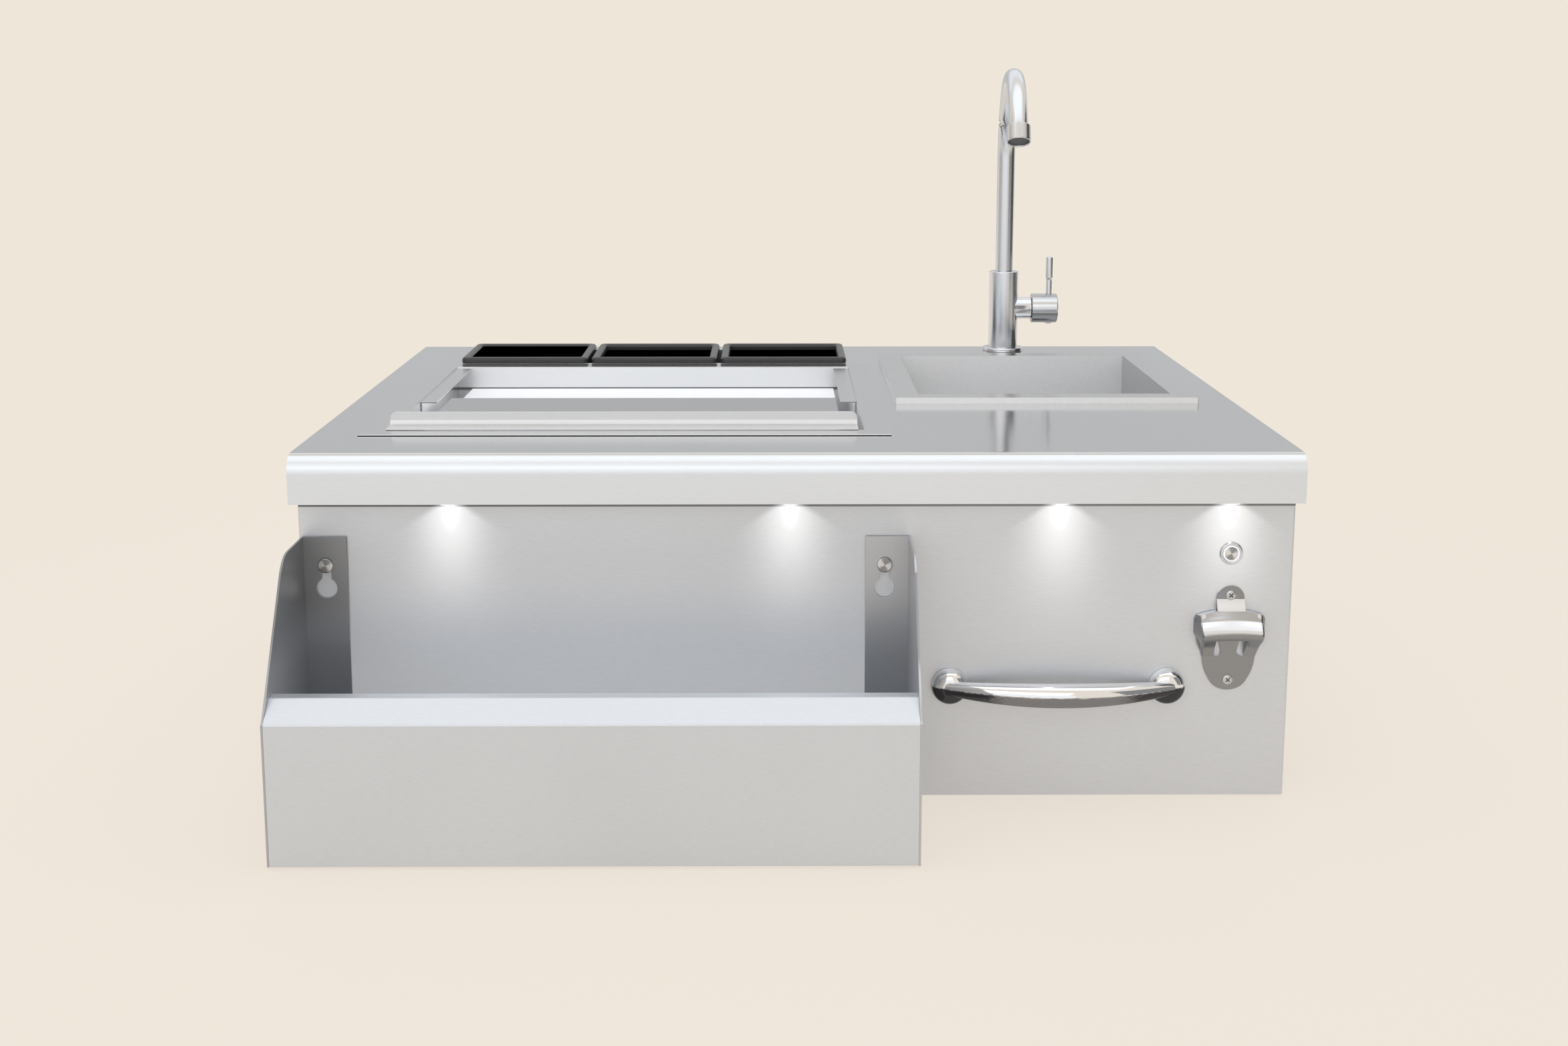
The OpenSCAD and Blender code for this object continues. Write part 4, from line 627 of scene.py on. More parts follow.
def add_piece(name, bm, material, node, *more, sharp=50):
    """Closes and smooths a mesh and puts it in the place of a CAD node, with the same finish.

    More finishes go into the next slots, for the faces that have their number.
    """
    wear(node, material)
    bmesh.ops.remove_doubles(bm, verts=bm.verts, dist=0.004 * MM)
    bmesh.ops.dissolve_degenerate(bm, edges=bm.edges, dist=0.002 * MM)
    gaps = [e for e in bm.edges if e.is_boundary]
    if gaps:
        bmesh.ops.holes_fill(bm, edges=gaps, sides=12)
    bmesh.ops.recalc_face_normals(bm, faces=bm.faces)
    piece = mesh_object(name, bm)
    data = piece.data
    data.shade_smooth()
    even_shading(data, sharp)
    for finish_used in (material, *more):
        data.materials.append(finish_used)
    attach(piece, cad_nodes[node]["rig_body"])
    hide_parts(node)
    uses = [0] * len(data.edges)
    for loop in data.loops:
        uses[loop.edge_index] += 1
    print(name, len(data.polygons), "faces,", sum(n != 2 for n in uses), "open edges")
    return piece


def merged_copy(node):
    """A CAD node's skin as one closed bmesh, with its flat faces joined up."""
    bm = bmesh.new()
    bm.from_mesh(cad_nodes[node].data)
    bmesh.ops.remove_doubles(bm, verts=bm.verts, dist=0.002 * MM)
    bmesh.ops.dissolve_limit(
        bm, angle_limit=math.radians(0.8), verts=bm.verts, edges=bm.edges, use_dissolve_boundaries=False
    )
    return bm


def soften(bm, width, bend=0.0):
    """Bevels sharp edges by width, and wide folds that run from side to side by bend, both in mm.

    A fold counts as wide when both its faces are clearly wider than the bend. The end of a thin profile
    has a large area but is narrow all along, so its area is held against its outline as well.
    """

    def cut(edges, reach, steps, clamp):
        """Bevels some edges."""
        bmesh.ops.bevel(
            bm,
            geom=edges,
            offset=reach * MM,
            segments=steps,
            profile=0.5,
            affect="EDGES",
            material=-1,
            clamp_overlap=clamp,
        )

    def sharp_edges():
        """Edges where two faces meet at a clear angle."""
        return [e for e in bm.edges if e.is_manifold and e.calc_face_angle(0) > math.radians(28)]

    if bend:
        folds = [
            e
            for e in sharp_edges()
            if abs((e.verts[1].co - e.verts[0].co).normalized().x) > 0.999
            and min(f.calc_area() for f in e.link_faces) > e.calc_length() * 3.2 * bend * MM
            and min(f.calc_area() / f.calc_perimeter() for f in e.link_faces) > 0.75 * bend * MM
        ]
        cut(folds, bend, 4, False)
    cut(sharp_edges(), width, 2, True)
    return bm


# %% [markdown]
# ## Deck
#
# The deck is one sheet whose front edge is rolled over a large radius. Light runs along that roll as one
# bright line, so its curve has to be truly round. The sheet itself comes from the CAD mesh.


# %% True rounds
def true_round(bm, centre, axis, radii, arc, step=5):
    """Cuts the facets round an axis finer, over an arc in degrees, and moves them onto their radius."""
    centre, axis = Vector(centre), Vector(axis).normalized()
    start = Vector((0, 1, 0)) if abs(axis.x) > 0.5 else Vector((1, 0, 0))
    low, high = arc

    def spoke(point):
        """From the axis straight out to a point."""
        out = point - centre
        return out - axis * out.dot(axis)

    def on_wall(point):
        """Whether a point lies on one of the round walls, within the arc."""
        out = spoke(point)
        if not any(r * MM * 0.98 < out.length < r * MM * 1.001 for r in radii):
            return False
        turn = math.degrees(math.atan2(axis.dot(start.cross(out)), start.dot(out)))
        return low - 0.5 <= (turn - low) % 360 + low <= high + 0.5

    count = round((high - low) / step)
    for i in range(1, count):
        angle = math.radians(low + (high - low) * i / count)
        plane = axis.cross(Matrix.Rotation(angle, 3, axis) @ start)
        walls = [f for f in bm.faces if sum(on_wall(v.co) for v in f.verts) > 1]
        around = {e for f in walls for e in f.edges}
        corners = {v for f in walls for v in f.verts}
        bmesh.ops.bisect_plane(
            bm, geom=[*walls, *around, *corners], plane_co=centre, plane_no=plane, dist=1e-7
        )
    for v in bm.verts:
        if on_wall(v.co):
            out = spoke(v.co)
            radius = min(radii, key=lambda r: abs(r * MM - out.length)) * MM
            v.co += out.normalized() * (radius - out.length)


# %% Deck
deck_low, deck_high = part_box("deck")
roll_radius = 14.5
sheet = 1.5
deck = merged_copy("deck")
roll_axis = deck_low.y + roll_radius * MM, deck_high.z - roll_radius * MM
true_round(
    deck, (0, *roll_axis), (1, 0, 0), (roll_radius, roll_radius - sheet), (90, 180), step=3.75
)
add_piece("deck_sheet", soften(deck, 0.3), deck_steel, "deck")

# %% [markdown]
# ## Body
#
# The body is a box of plain panels. Only the front one is folded round at its sides, over a small radius
# that shows as a soft line at each corner of the body, so that fold is rounded truly.

# %% Body panels
for node in ("left_side_panel", "right_side_panel", "back_panel", "bottom_panel"):
    add_piece(node + "_sheet", soften(merged_copy(node), 0.3), hidden_steel, node)
panel_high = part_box("front_panel")[1]
fold = 2.5
front = merged_copy("front_panel")
for side, arc in ((-1, (180, 270)), (1, (270, 360))):
    upright = Vector((side * (panel_high.x - fold * MM), panel_face + fold * MM, 0))
    true_round(front, upright, (0, 0, 1), (fold, fold - sheet), arc, step=10)
add_piece("front_sheet", soften(front, 0.25), panel_steel, "front_panel")

# %% [markdown]
# ## Bottle rail
#
# The trough is a sheet with four soft bends and a sloping lip. Its ends are plates with a round upper
# corner and a flange with a keyhole, which drops over a headed stud.

# %% Trough and ends
trough = soften(merged_copy("rail_trough"), 0.25, bend=1.1)
add_piece("rail_trough_sheet", trough, rail_steel, "rail_trough")
slot_radius, hole_radius, hole_drop = 3.85, 8, 18 * MM
all_round = (-180, 180)
for node, material, x in zip(
    ("rail_left_end", "rail_right_end"), (left_end_shaded_steel, right_end_shaded_steel), stud_places
):
    end = merged_copy(node)
    true_round(end, (x, 0, stud_level), (0, 1, 0), (slot_radius,), all_round, step=10)
    true_round(end, (x, 0, stud_level - hole_drop), (0, 1, 0), (hole_radius,), all_round, step=7.5)
    add_piece(node + "_plate", soften(end, 0.2), material, node)

# %% [markdown]
# ## Turned parts
#
# The turned, bent and moulded parts are made anew, because their facets show too much. A turned part is
# half of its section, spun round its axis. Arcs in the section keep its edges soft.


# %% Turned shapes
def arc_points(centre, radius, start, end, count=6):
    """Points of an arc in a profile, in degrees, as (across, along) pairs."""
    angles = [math.radians(start + (end - start) * i / count) for i in range(count + 1)]
    return [(centre[0] + radius * math.cos(a), centre[1] + radius * math.sin(a)) for a in angles]


def turned(bm, profile, centre, axis, steps=72):
    """Spins a profile of (distance from the axis, height along it), in mm, into a closed solid."""
    centre, axis = Vector(centre), Vector(axis).normalized()
    side = axis.orthogonal().normalized()
    points = [bm.verts.new(centre + side * r * MM + axis * h * MM) for r, h in profile]
    lines = [bm.edges.new(pair) for pair in zip(points, points[1:])]
    bmesh.ops.spin(
        bm, geom=points + lines, cent=centre, axis=axis, angle=math.tau, steps=steps, use_merge=True
    )
    bmesh.ops.remove_doubles(bm, verts=bm.verts, dist=0.002 * MM)
    return bm


def turned_piece(name, node, material, centre, axis, profile, steps=72):
    """A turned solid as a piece of its own."""
    return add_piece(name, turned(bmesh.new(), profile, centre, axis, steps), material, node)


# %% [markdown]
# ## Studs
#
# A stud is turned on a lathe, so its head shows rings of fine tool marks that flash as bright sectors.
# The profile is spun, and the finish draws the sectors round the stud's own middle as a painted
# highlight.

# %% Rail studs
studs = bmesh.new()
for x in stud_places:
    head = [(0, 5.5), (4.9, 5.5), *arc_points((4.9, 4.6), 0.9, 90, 0, 4), (5.8, 3.1)]
    shank = [(3.5, 3.1), (3.5, 0), (3, 0), (3, -8), (0, -8)]
    turned(studs, head + shank, (x, panel_face, stud_level), (0, -1, 0), steps=64)
add_piece("rail_stud_pair", studs, stud_sector_highlight, "rail_studs")

# %% [markdown]
# ## Ice bin
#
# The bin's frame, lid and guides are bent sheet as well. The lid's handle is an upstand that the fingers
# hook behind, with rounded upper corners. The frame's collar and the lower strip of its flange's outer
# edge are parts of the same skin, so they only get finishes of their own, face by face: the collar a
# lighter steel as painted light, and the strip a black painted shadow line.

# %% Frame, lid and guides
frame_low, frame_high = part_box("ice_frame")
rim = merged_copy("ice_frame")
collar_top = deck_high.z - 0.4 * MM
# The top of a painted shadow line along the lower strip of the flange's outer edge.
shadow_line_top = deck_high.z + 0.55 * MM
geometry = rim.verts[:] + rim.edges[:] + rim.faces[:]
bmesh.ops.bisect_plane(
    rim, geom=geometry, plane_co=(0, 0, shadow_line_top), plane_no=(0, 0, 1), dist=1e-7
)
soften(rim, 0.3)
shell = add_piece("ice_frame_sheet", rim, frame_steel, "ice_frame", collar_lit_steel, rubber_and_shadow_line)
# Painted light on the collar below the deck, and a black painted shadow line on the flange's lower outer
# strip.
for face in shell.data.polygons:
    spot = face.center
    inside = min(spot.x - frame_low.x, frame_high.x - spot.x, spot.y - frame_low.y)
    if spot.z < collar_top:
        face.material_index = 1
    elif spot.z < shadow_line_top and inside < 1 * MM:
        face.material_index = 2
add_piece("ice_lid_sheet", soften(merged_copy("ice_lid"), 0.25, bend=0.8), lid_steel, "ice_lid")
add_piece("guide_pair", soften(merged_copy("lid_guides"), 0.2), frame_steel, "lid_guides")
add_piece("liner_tub", soften(merged_copy("ice_liner"), 0.3), liner_white_painted_light, "ice_liner")
add_piece("tray_sheet", soften(merged_copy("pan_tray"), 0.25), hidden_steel, "pan_tray")

# %% [markdown]
# ## Condiment pans
#
# Each pan is moulded in black plastic, with draft, soft inner corners and a rolled rim. A stack of
# rounded rectangles is bridged from the underside, over the rim and down the inside. Each one is given
# by how far it stands in from the rim's outside, its corner radius and its height.


# %% Rounded rectangle
def rounded_ring(bm, low, high, radius, height, corner=5):
    """A rounded rectangle of edges at a height: a circle whose quarters are pushed apart, in mm."""
    middle = mm((low[0] + high[0]) / 2, (low[1] + high[1]) / 2, height)
    turn = Matrix.Rotation(math.pi / (4 * corner), 4, "Z")
    ring = bmesh.ops.create_circle(
        bm, segments=4 * corner, radius=radius * MM, matrix=Matrix.Translation(middle) @ turn
    )["verts"]
    reach = ((high[0] - low[0]) / 2 - radius, (high[1] - low[1]) / 2 - radius)
    for v in ring:
        v.co.x += math.copysign(reach[0] * MM, v.co.x - middle.x)
        v.co.y += math.copysign(reach[1] * MM, v.co.y - middle.y)
    return list({e for v in ring for e in v.link_edges})


# %% Pans
for node in ("left_pan", "middle_pan", "right_pan"):
    low, high = (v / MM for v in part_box(node))
    underside = ((9.5, 3.0, 0), (6.6, 5.2, 0.8), (5.8, 6.0, 3.4))
    rim_down = ((5.8, 6.0, 2.2), (2.2, 3.8, 2.2), (2.0, 4.0, 5.9), (0.5, 5.5, 5.9), (0.0, 6.0, 5.3))
    rim_down += ((0.0, 6.0, 2.9), (0.35, 5.7, 1.7), (1.1, 5.2, 0.75), (2.3, 4.8, 0.15), (3.6, 4.4, 0))
    rim_down += ((5.2, 4.2, 0.15), (6.6, 4.0, 0.8), (7.5, 3.9, 1.9), (8.0, 3.8, 3.4))
    inside = ((8.4, 3.8, 6.5), (9.6, 3.2, 3.4), (12.0, 2.2, 2.3))
    steps = [(d, r, low.z + up) for d, r, up in underside]
    steps += [(d, r, high.z - down) for d, r, down in rim_down]
    steps += [(d, r, low.z + up) for d, r, up in inside]
    pan = bmesh.new()
    rings = [
        rounded_ring(pan, (low.x + d, low.y + d), (high.x - d, high.y - d), r, z)
        for d, r, z in steps
    ]
    for lower, upper in zip(rings, rings[1:]):
        bmesh.ops.bridge_loops(pan, edges=lower + upper)
    for end in (rings[0], rings[-1]):
        bmesh.ops.edgeloop_fill(pan, edges=end)
    add_piece(node + "_tub", pan, pan_black, node)

# %% [markdown]
# ## Sink
#
# The sink is welded from sheet, so its bowl meets in crisp corners, and its raised rim has softly rounded
# outer edges. Its side walls stand edge-on to the light and get a darker copy of its steel as painted
# shade.

# %% Sink and drain
sink = soften(merged_copy("sink_bowl"), 0.5)
sink.normal_update()
bowl_middle = centre_of("sink_bowl").x
wall_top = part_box("sink_bowl")[1].z - 1.5 * MM
# Painted shade: the inner side walls take the darker copy of the steel.
for face in sink.faces:
    spot = face.calc_center_median()
    inward = face.normal.x * (bowl_middle - spot.x) > 0
    if inward and abs(face.normal.x) > 0.75 and spot.z < wall_top:
        face.material_index = 1
add_piece("sink_tub", sink, sink_steel, "sink_bowl", sink_side_shaded_steel)
add_piece("drain_cup_shell", soften(merged_copy("drain_cup"), 0.25), bright_steel, "drain_cup")

# %% [markdown]
# ## Tap
#
# The tap is turned and bent from round bar and tube. Turned parts are spun profiles with a small chamfer,
# the gooseneck is a circle swept round its bend, and the side neck is joined to the body by a union.


# %% Joining and cutting
def combined(first, second, operation):
    """The UNION or DIFFERENCE of two closed meshes."""
    objects = []
    for bm in (first, second):
        bmesh.ops.recalc_face_normals(bm, faces=bm.faces)
        objects.append(mesh_object("Shape", bm))
    cut = objects[0].modifiers.new("Cut", "BOOLEAN")
    cut.object, cut.operation, cut.solver = objects[1], operation, "EXACT"
    result = bmesh.new()
    done = objects[0].evaluated_get(bpy.context.evaluated_depsgraph_get())
    result.from_mesh(done.to_mesh())
    for shape in objects:
        bpy.data.objects.remove(shape)
    return result


# %% Tap body
UP, TO_RIGHT, OUTWARD = (0, 0, 1), (1, 0, 0), (0, -1, 0)
tap_foot = centre_of("tap_flange")
tap_foot.z = deck_high.z
neck_foot = tap_foot.copy()
neck_foot.z = centre_of("tap_hub").z
top = (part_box("tap_body")[1].z - tap_foot.z) / MM
flange = [(14.95, 0), (20.1, 0), (20.5, 0.4), *arc_points((19.1, 2.5), 1.4, 0, 62), (15.6, 4)]
flange += [(14.95, 4), (14.95, 0)]
turned_piece("tap_flange_ring", "tap_flange", tap_steel, tap_foot, UP, flange)
column = [(0, 0.1), (14.9, 0.1), *arc_points((13.9, top - 1), 1.0, 0, 90, 4)]
column += [(8.95, top), (8.95, top - 6), (0, top - 6)]
neck = [(0, 4), (11.1, 4), (11.1, 27.5), (10.6, 28), (0, 28)]
body = turned(bmesh.new(), column, tap_foot, UP)
side_neck = turned(bmesh.new(), neck, neck_foot, TO_RIGHT)
add_piece("tap_column", combined(body, side_neck, "UNION"), tap_steel, "tap_body")

# %% [markdown]
# The hub turns on the side neck with a narrow gap between them, which reads as a dark line. The lever is
# a thin rod with a thicker grip, and a shallow dome hides the screw that holds it.

# %% Hub, lever and cap screw
hub = [(0, 28.3), (13.6, 28.3), *arc_points((13.9, 29.15), 0.85, -90, 0, 4)]
hub += [*arc_points((13.45, 53.3), 1.3, 0, 90, 5), (0, 54.6)]
turned_piece("tap_hub_barrel", "tap_hub", barrel_steel, neck_foot, TO_RIGHT, hub)
lever_low, lever_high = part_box("tap_lever")
lever_foot = Vector((centre_of("tap_lever").x, tap_foot.y, lever_low.z))
reach = (lever_high.z - lever_low.z) / MM
lever = [(0, 0), (2.95, 0), (2.95, 17.2), (2.6, 17.5), (2.6, 17.8), (3.3, 18.4), (3.65, 20.5)]
lever += [(3.65, reach - 1.2), *arc_points((2.85, reach - 0.8), 0.8, 0, 90, 4), (0, reach)]
turned_piece("lever_rod", "tap_lever", tap_steel, lever_foot, UP, lever, steps=40)
cap_top = Vector((centre_of("tap_cap_screw").x, tap_foot.y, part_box("tap_cap_screw")[1].z))
cap = [(0, 0), (4.5, 0), (4.5, 3.4), *arc_points((0, -1.4), 6.6, 46, 90, 6), (0, 5.2)]
turned_piece("cap_screw_dome", "tap_cap_screw", tap_steel, cap_top, (0, 0, -1), cap, steps=40)

# %% [markdown]
# The gooseneck is one tube: straight up out of the body, then round a bend of 154 degrees. Its stations
# lie 4 degrees apart, so the bend is round from any side. Its last few millimetres are thinner and end
# inside the outlet.


# %% Swept tube
def swept(bm, stations, sides=48):
    """Pulls a circle through stations of (centre, direction, radius) and closes both ends."""
    spots = []
    for centre, along, radius in stations:
        along = Vector(along).normalized()
        across = Vector((0, 0, 1)) if abs(along.z) < 0.9 else Vector((1, 0, 0))
        across = (across - along * across.dot(along)).normalized()
        turn = Matrix((across, along.cross(across), along)).transposed().to_4x4()
        spots.append(Matrix.Translation(centre) @ turn @ Matrix.Scale(radius, 4))
    ring = bmesh.ops.create_circle(bm, segments=sides, radius=1, matrix=spots[0])["verts"]
    edges = list({e for v in ring for e in v.link_edges})
    bmesh.ops.edgeloop_fill(bm, edges=edges)
    for here, there in zip(spots, spots[1:]):
        grown = bmesh.ops.extrude_edge_only(bm, edges=edges)["geom"]
        ring = [part for part in grown if isinstance(part, bmesh.types.BMVert)]
        bmesh.ops.transform(bm, matrix=there @ here.inverted(), verts=ring)
        inside = set(ring)
        edges = [e for e in {e for v in ring for e in v.link_edges} if inside.issuperset(e.verts)]
    bmesh.ops.edgeloop_fill(bm, edges=edges)
    return bm


# %% Gooseneck
bend_radius = 80 * MM
bend_sweep = 154
bend_level = deck_high.z + 197 * MM
bend_turn = math.radians(-2.6)
forward = Vector((math.sin(bend_turn), -math.cos(bend_turn), 0))
upward = Vector(UP)


def neck_spot(angle):
    """A point on the spout's middle line and its direction there, by the angle bent so far."""
    a = math.radians(angle)
    point = tap_foot + forward * (bend_radius * (1 - math.cos(a)))
    point.z = bend_level + bend_radius * math.sin(a)
    return point, forward * math.sin(a) + upward * math.cos(a)


tube_radius, end_radius = 8.8 * MM, 7.9 * MM
foot = tap_foot.copy()
foot.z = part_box("tap_body")[1].z - 5 * MM
run = [(foot, upward, tube_radius)]
run += [(*neck_spot(angle), tube_radius) for angle in range(0, bend_sweep + 1, 4)]
last_spot, last_way = neck_spot(bend_sweep)
run.append((last_spot, last_way, tube_radius))
run += [(last_spot + last_way * beyond * MM, last_way, end_radius) for beyond in (0.3, 3)]
add_piece("gooseneck", swept(bmesh.new(), run), spout_steel, "tap_spout")

# %% [markdown]
# The outlet is a collar a little wider than the tube, with a seam above it, and a dark plastic aerator
# whose rings can be seen from below.

# %% Outlet
collar = [(8.0, 0.15), (10.3, 0.15), *arc_points((10.3, 1.25), 1.1, -90, 0, 4)]
collar += [*arc_points((10.8, 15.9), 0.6, 0, 90, 4), (10.4, 16.5), (10.1, 16.2), (9.7, 15.2)]
collar += [(9.7, 2), (8.0, 2), (8.0, 0.15)]
turned_piece("outlet_collar_ring", "outlet_collar", hub_steel, last_spot, last_way, collar)
rings = [(0, 8), (9.5, 8), (9.5, 14.9), (9.1, 15.2), (8.3, 15.2), (8.1, 14.5), (7.7, 14.5), (7.5, 15)]
rings += [(5.6, 15), (5.4, 14.6), (5.0, 14.6), (4.8, 14.9), (3.0, 14.9), (2.8, 14.6), (0, 14.6)]
turned_piece("aerator_insert", "aerator", aerator_grey_and_recess_shade, last_spot, last_way, rings, steps=48)

# %% [markdown]
# ## Push button
#
# A domed bezel holds a ring of milky plastic that is lit from behind, round a spun steel button.

# %% Switch
switch_spot = centre_of("switch_housing")
switch_spot.y = panel_face
bezel = [(6.35, -4), (7.9, -4), (7.9, 0), (9.0, 0), *arc_points((8.2, 0.6), 0.8, 0, 60, 4)]
bezel += [*arc_points((7.2, -0.2), 2.2, 62, 90, 4), (6.8, 1.9), (6.4, 1.5), (6.35, -4)]
turned_piece("switch_bezel", "switch_housing", bright_steel, switch_spot, OUTWARD, bezel)
ring = [(5.1, -0.8), (6.25, -0.8), (6.25, 1.9), *arc_points((5.75, 1.9), 0.5, 0, 90, 3)]
ring += [(5.3, 2.2), (5.1, 2.0), (5.1, -0.8)]
turned_piece("switch_ring_lens", "switch_ring", ring_white, switch_spot, OUTWARD, ring)
button = [(0, -3), (4.95, -3), (4.95, 2.0), *arc_points((4.55, 2.0), 0.4, 0, 90, 3), (0, 2.15)]
turned_piece("switch_cap", "switch_button", button_sector_highlight, switch_spot, OUTWARD, button)

# %% [markdown]
# ## Towel bar
#
# The bar is polished chrome: thin at its ends, fuller in the middle and bowed out from the panel. A
# circle is swept along that bow and grows on the way. Each end sinks into a mushroom-shaped rose.

# %% Bar and roses
rose_low, rose_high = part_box("towel_roses")
bar_middle = centre_of("towel_roses")
bar_middle.y = panel_face
half_span = (rose_high.x - rose_low.x - (rose_high.z - rose_low.z)) / 2
bow = 18.3
bar_run = []
for i in range(57):
    u = 1.03 * (i / 28 - 1)
    away = 10.2 + bow * (1 - u * u)
    slope = -2 * u * bow * MM / half_span
    point = bar_middle + Vector((u * half_span, -away * MM, 0))
    bar_run.append((point, (1, -slope, 0), (5.5 + 3.8 * (1 - u * u)) * MM))
add_piece("towel_bar_bow", swept(bmesh.new(), bar_run), chrome, "towel_bar")
roses = bmesh.new()
dome = [(0, 0), (12.6, 0), *arc_points((12.65, 1.2), 1.2, -90, 0, 4)]
dome += [*arc_points((4.85, 3.5), 9, 0, 90, 12), (0, 12.5)]
for side in (-1, 1):
    turned(roses, dome, bar_middle + Vector((side * half_span, 0, 0)), OUTWARD, steps=96)
add_piece("towel_rose_pair", roses, chrome, "towel_roses")

# %% [markdown]
# ## Bottle opener
#
# The opener is one casting: a plate with a round tab and foot, and a hood that swells out of it to catch
# a bottle's cap. The plate is a few points whose corners are bevelled round, pulled to its thickness, and
# two slanting drops are cut out of it.

# %% Opener plate
opener_low, opener_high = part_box("bottle_opener")
opener_x = (opener_low.x + opener_high.x) / 2
opener_top = opener_high.z
PLATE_OUT = 2.0


def opener_spot(x, depth, out):
    """A point of the opener: across from its middle, below its top and off the panel, in mm."""
    return Vector((opener_x + x * MM, panel_face - out * MM, opener_top - depth * MM))


def flat_plate(outline, thickness):
    """A plate on the panel from corners of (across, depth, how far its corner is cut round), in mm."""
    bm = bmesh.new()
    points = [bm.verts.new(opener_spot(x, z, 0.05)) for x, z, cut in outline]
    bm.faces.new(points)
    for point, (x, z, cut) in zip(points, outline):
        bmesh.ops.bevel(
            bm, geom=[point], offset=cut * MM, segments=10, profile=0.5, affect="VERTICES", material=-1
        )
    moved = bmesh.ops.extrude_face_region(bm, geom=bm.faces[:])["geom"]
    tops = [part for part in moved if isinstance(part, bmesh.types.BMVert)]
    bmesh.ops.translate(bm, verts=tops, vec=(0, -thickness * MM, 0))
    bmesh.ops.recalc_face_normals(bm, faces=bm.faces)
    return bm


def drop_cutter(side):
    """A slanting round-ended cutter: a cylinder whose upper half is moved up and outwards."""
    bm = bmesh.new()
    spot = opener_spot(side * 9.6, 52.2, 1)
    place = Matrix.Translation(spot) @ Matrix.Rotation(math.pi / 2, 4, "X")
    size = {"radius1": 3.5 * MM, "radius2": 3.5 * MM, "depth": 9 * MM}
    bmesh.ops.create_cone(bm, cap_ends=True, segments=40, matrix=place, **size)
    upper = [v for v in bm.verts if v.co.z > spot.z + 0.1 * MM]
    bmesh.ops.translate(bm, verts=upper, vec=mm(side * 1.6, 0, 7.5))
    return bm


half_outline = ((10.65, 0, 10.5), (10.65, 20.6, 3), (24.4, 22.8, 2), (25.8, 34, 3), (25.0, 46, 3))
half_outline += ((20.4, 54.5, 3), (19.2, 66, 6), (12.0, 79.0, 4), (4.5, 82.75, 3.8))
outline = half_outline + tuple((-x, z, cut) for x, z, cut in reversed(half_outline))
plate = flat_plate(outline, PLATE_OUT - 0.05)
for side in (-1, 1):
    plate = combined(plate, drop_cutter(side), "DIFFERENCE")
soften(plate, 0.35)
print("opener plate", len(plate.faces), "faces")

# %% [markdown]
# The hood is a grid that is bent by one rule down its front and one across it, and given a thickness. A
# subdivided cage would need many hand-placed points for the same shape. The rule down the front is read
# from a few places in the photograph: a slope, a blunt lip, and the underside below it.

# %% Opener hood
hood_front = ((0, 18.6, 6.6), (0.16, 22.2, 8.6), (0.28, 25.3, 10.2), (0.4, 28.6, 13.3))
hood_front += ((0.52, 31.8, 16.3), (0.6, 33.8, 17.9), (0.66, 35.2, 18.5), (0.72, 37.2, 17.6))
hood_front += ((0.8, 40.0, 15.0), (0.9, 47.0, 7.6), (1, 56.0, 2.2))
TOP_SHARE = 0.1
LIP = 0.8
MOUTH = 0.36
FLAT, TURN = 0.6, 0.85


def between(table, share):
    """Reads a table of (share, value, value) rows, in a straight line between two rows."""
    for (s0, *low), (s1, *high) in zip(table, table[1:]):
        if share <= s1:
            mix = (share - s0) / (s1 - s0)
            return [a + (b - a) * mix for a, b in zip(low, high)]
    return list(table[-1][1:])


def hood_point(across, down):
    """Bends a grid point: across runs from -1 to 1 round the hood, and down from 0 to 1."""
    face = max(0.0, (down - TOP_SHARE) / (1 - TOP_SHARE))
    depth, out = between(hood_front, face)
    side = abs(across)
    under = max(0, face - LIP)
    corner = 2.4 - 0.9 * under / (1 - LIP)
    angle = math.pi / 2 * min(1, max(0, (side - FLAT) / (TURN - FLAT)))
    back = max(0, (side - TURN) / (1 - TURN))
    rise = math.sin(min(1, down / TOP_SHARE) * math.pi / 2) ** 0.6
    front_half = 24.6 - 1.6 * face - 2.4 * under / (1 - LIP)
    wall_half = 25.6 + 1.6 * min(1, face / 0.2) - 6.6 * max(0, (face - 0.66) / 0.34) ** 1.3
    x = (front_half - corner) * min(1, side / FLAT) + corner * math.sin(angle)
    x += max(0, wall_half - front_half) * back
    out -= corner * (1 - math.cos(angle))
    out += (1.0 - out) * back
    above = 1 - min(1, face / 0.4)
    arch = (1.2 + 2.2 * above) * (x / 22) ** 2 * (1 - under / (1 - LIP))
    return opener_spot(math.copysign(x, across), depth + arch, 1.0 + (out - 1.0) * rise)


hood = bmesh.new()
bmesh.ops.create_grid(hood, x_segments=56, y_segments=40, size=1)
mouth = []
for face in hood.faces:
    across, up, _ = face.calc_center_median()
    if abs(across) < MOUTH and (1 - up) / 2 > TOP_SHARE + (1 - TOP_SHARE) * LIP:
        mouth.append(face)
bmesh.ops.delete(hood, geom=mouth, context="FACES")
for v in hood.verts:
    v.co = hood_point(v.co.x, (1 - v.co.y) / 2)
bmesh.ops.remove_doubles(hood, verts=hood.verts, dist=0.01 * MM)
bmesh.ops.recalc_face_normals(hood, faces=hood.faces)
bmesh.ops.solidify(hood, geom=hood.faces[:], thickness=1.0 * MM)
print("hood out to", round((panel_face - min(v.co.y for v in hood.verts)) / MM, 2), "mm")

# %% [markdown]
# A flat tab leans against the hood's top. Faces that look up catch the lamps above, so the casting's
# steel is painted by the way each face looks: the tab's face and the faces that look most nearly up get a
# painted highlight, the upper slope a painted half light, and everything that looks forward or down a
# painted shade.

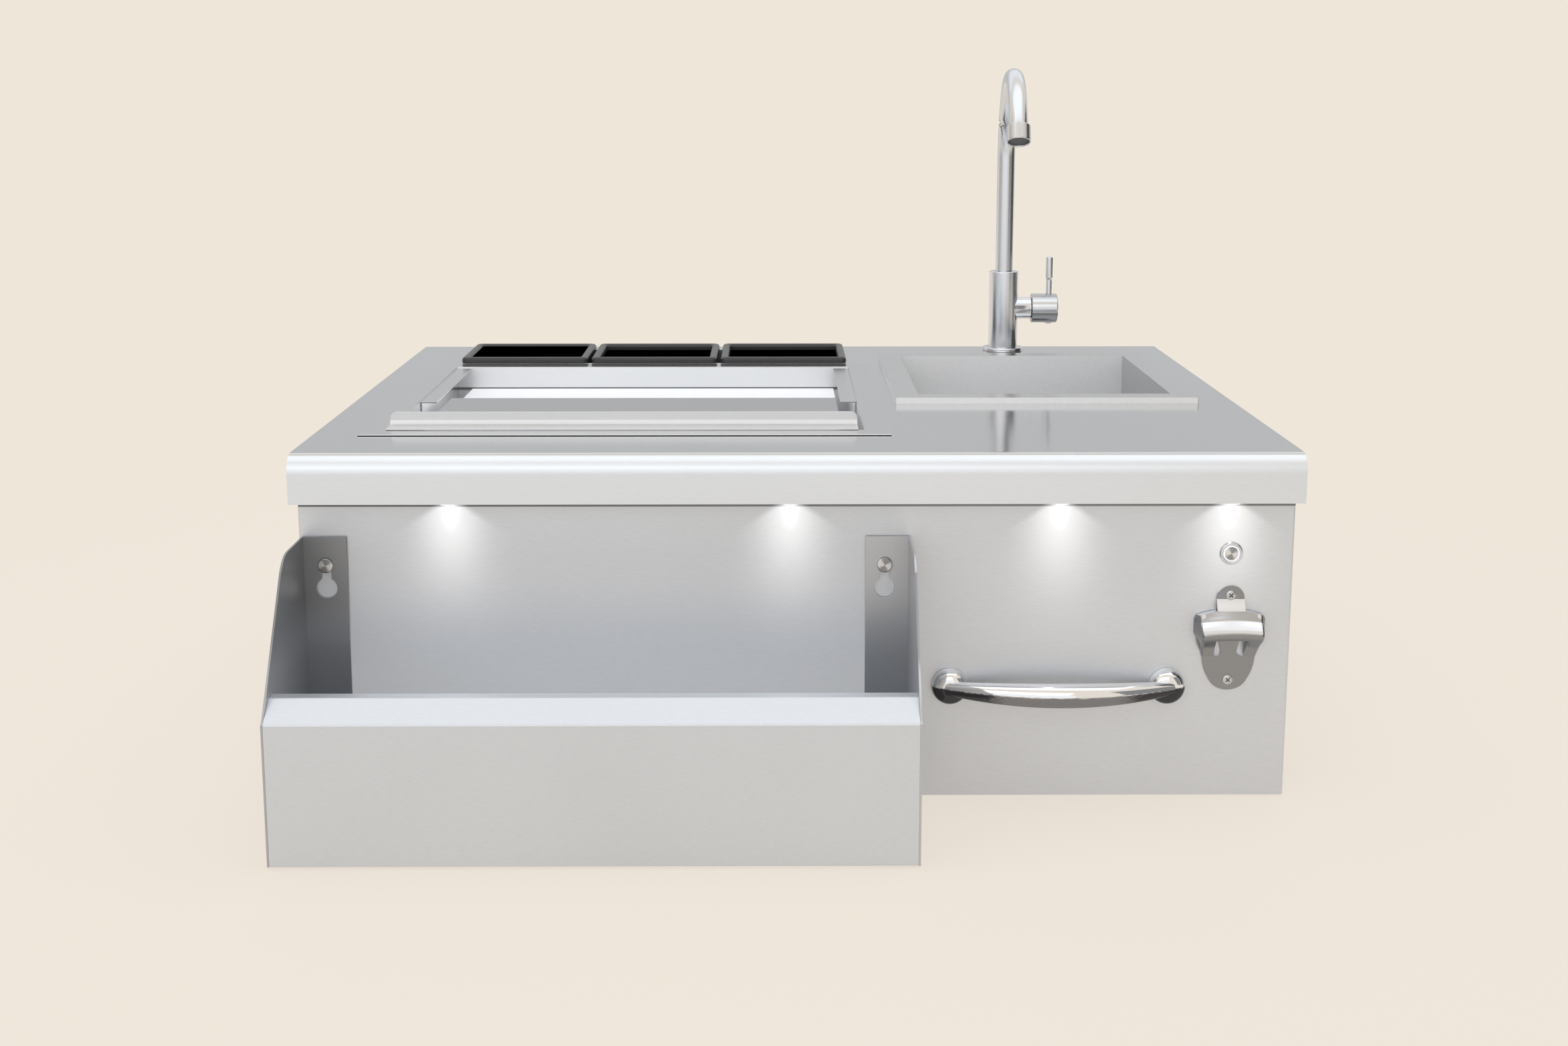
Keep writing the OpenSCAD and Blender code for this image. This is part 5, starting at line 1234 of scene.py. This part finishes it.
# %% Opener tab and casting
tab = bmesh.new()
bmesh.ops.create_cube(tab, size=1, matrix=Matrix.Diagonal((21.3 * MM, 2 * MM, 10.4 * MM, 1)))
lean = Matrix.Rotation(math.radians(-31), 4, "X")
bmesh.ops.transform(tab, matrix=Matrix.Translation(opener_spot(0, 15.4, 3.6)) @ lean, verts=tab.verts)
opener = combined(combined(plate, hood, "UNION"), tab, "UNION")
opener.normal_update()
for face in opener.faces:
    depth = (opener_top - face.calc_center_median().z) / MM
    # Upward faces get the painted highlight and half light; all other faces keep the painted shade.
    if face.normal.z > 0.4:
        face.material_index = 1 if face.normal.z > 0.56 or depth < 18.6 else 2
finishes = opener_shaded_steel, "bottle_opener", opener_highlit_steel, opener_half_lit_steel
add_piece("opener_casting", opener, *finishes, sharp=40)

# %% [markdown]
# Two dome-headed screws hold the opener. A cross is cut into each head and darkened inside as painted
# shade, because so small a recess gets hardly any light.

# %% Opener screws
SCREW_DEPTHS = (7.7, 74.6)
head = [(0, -9), (2, -9), (2, 0), (3.85, 0), (3.85, 0.4), *arc_points((0, -7.6), 9.1, 66, 90, 8)]
screws = bmesh.new()
for depth in SCREW_DEPTHS:
    spot = opener_spot(0, depth, PLATE_OUT)
    turned(screws, head, spot, OUTWARD, steps=48)
    for angle in (45, 135):
        turn = Matrix.Rotation(math.radians(angle), 4, "Y")
        place = Matrix.Translation(spot + mm(0, -1.6, 0)) @ turn
        blade = Matrix.Diagonal((4.2 * MM, 1.9 * MM, 0.95 * MM, 1))
        cross = bmesh.new()
        bmesh.ops.create_cube(cross, size=1, matrix=place @ blade)
        screws = combined(screws, cross, "DIFFERENCE")
# Painted shade: the faces inside each cross recess get the dark grey.
for face in screws.faces:
    spot = face.calc_center_median()
    out = (panel_face - spot.y) / MM
    reach = min((spot - opener_spot(0, depth, out)).length for depth in SCREW_DEPTHS) / MM
    if reach < 2.1 and 0.3 < out - PLATE_OUT < 1.2:
        face.material_index = 1
add_piece("opener_screw_pair", screws, screw_steel, "opener_screws", aerator_grey_and_recess_shade)

# %% [markdown]
# ## Parts that stay as they are
#
# Lamps, nuts, wiring, drains and the other plain or hidden parts need no new mesh, because the CAD model
# already gets their shape right. They only get a finish.

# %% Finishes on the other CAD nodes
for material, names in (
    (hidden_steel, "ice_jacket"),
    (brace_steel, "deck_braces sink_clips stud_nuts towel_bolts switch_nut tap_nut"),
    (housing_white_painted_light, "light_housings"),
    (lamp_white, "light_lenses"),
    (black_plastic, "light_driver power_inlet"),
    (cable_black, "light_wiring"),
    (bright_steel, "strainer_basket"),
    (foam, "ice_insulation"),
    (drain_plastic, "ice_drain ice_drain_nut drain_nut drain_tail"),
    (rubber_and_shadow_line, "ice_drain_plug sink_seal drain_gasket tap_gasket"),
    (cartridge_cream, "tap_cartridge"),
):
    for node in names.split():
        wear(node, material)
    print(names, "in", material.name.lower())
print("nodes without a finish:", sorted(set(cad_nodes) - dressed))
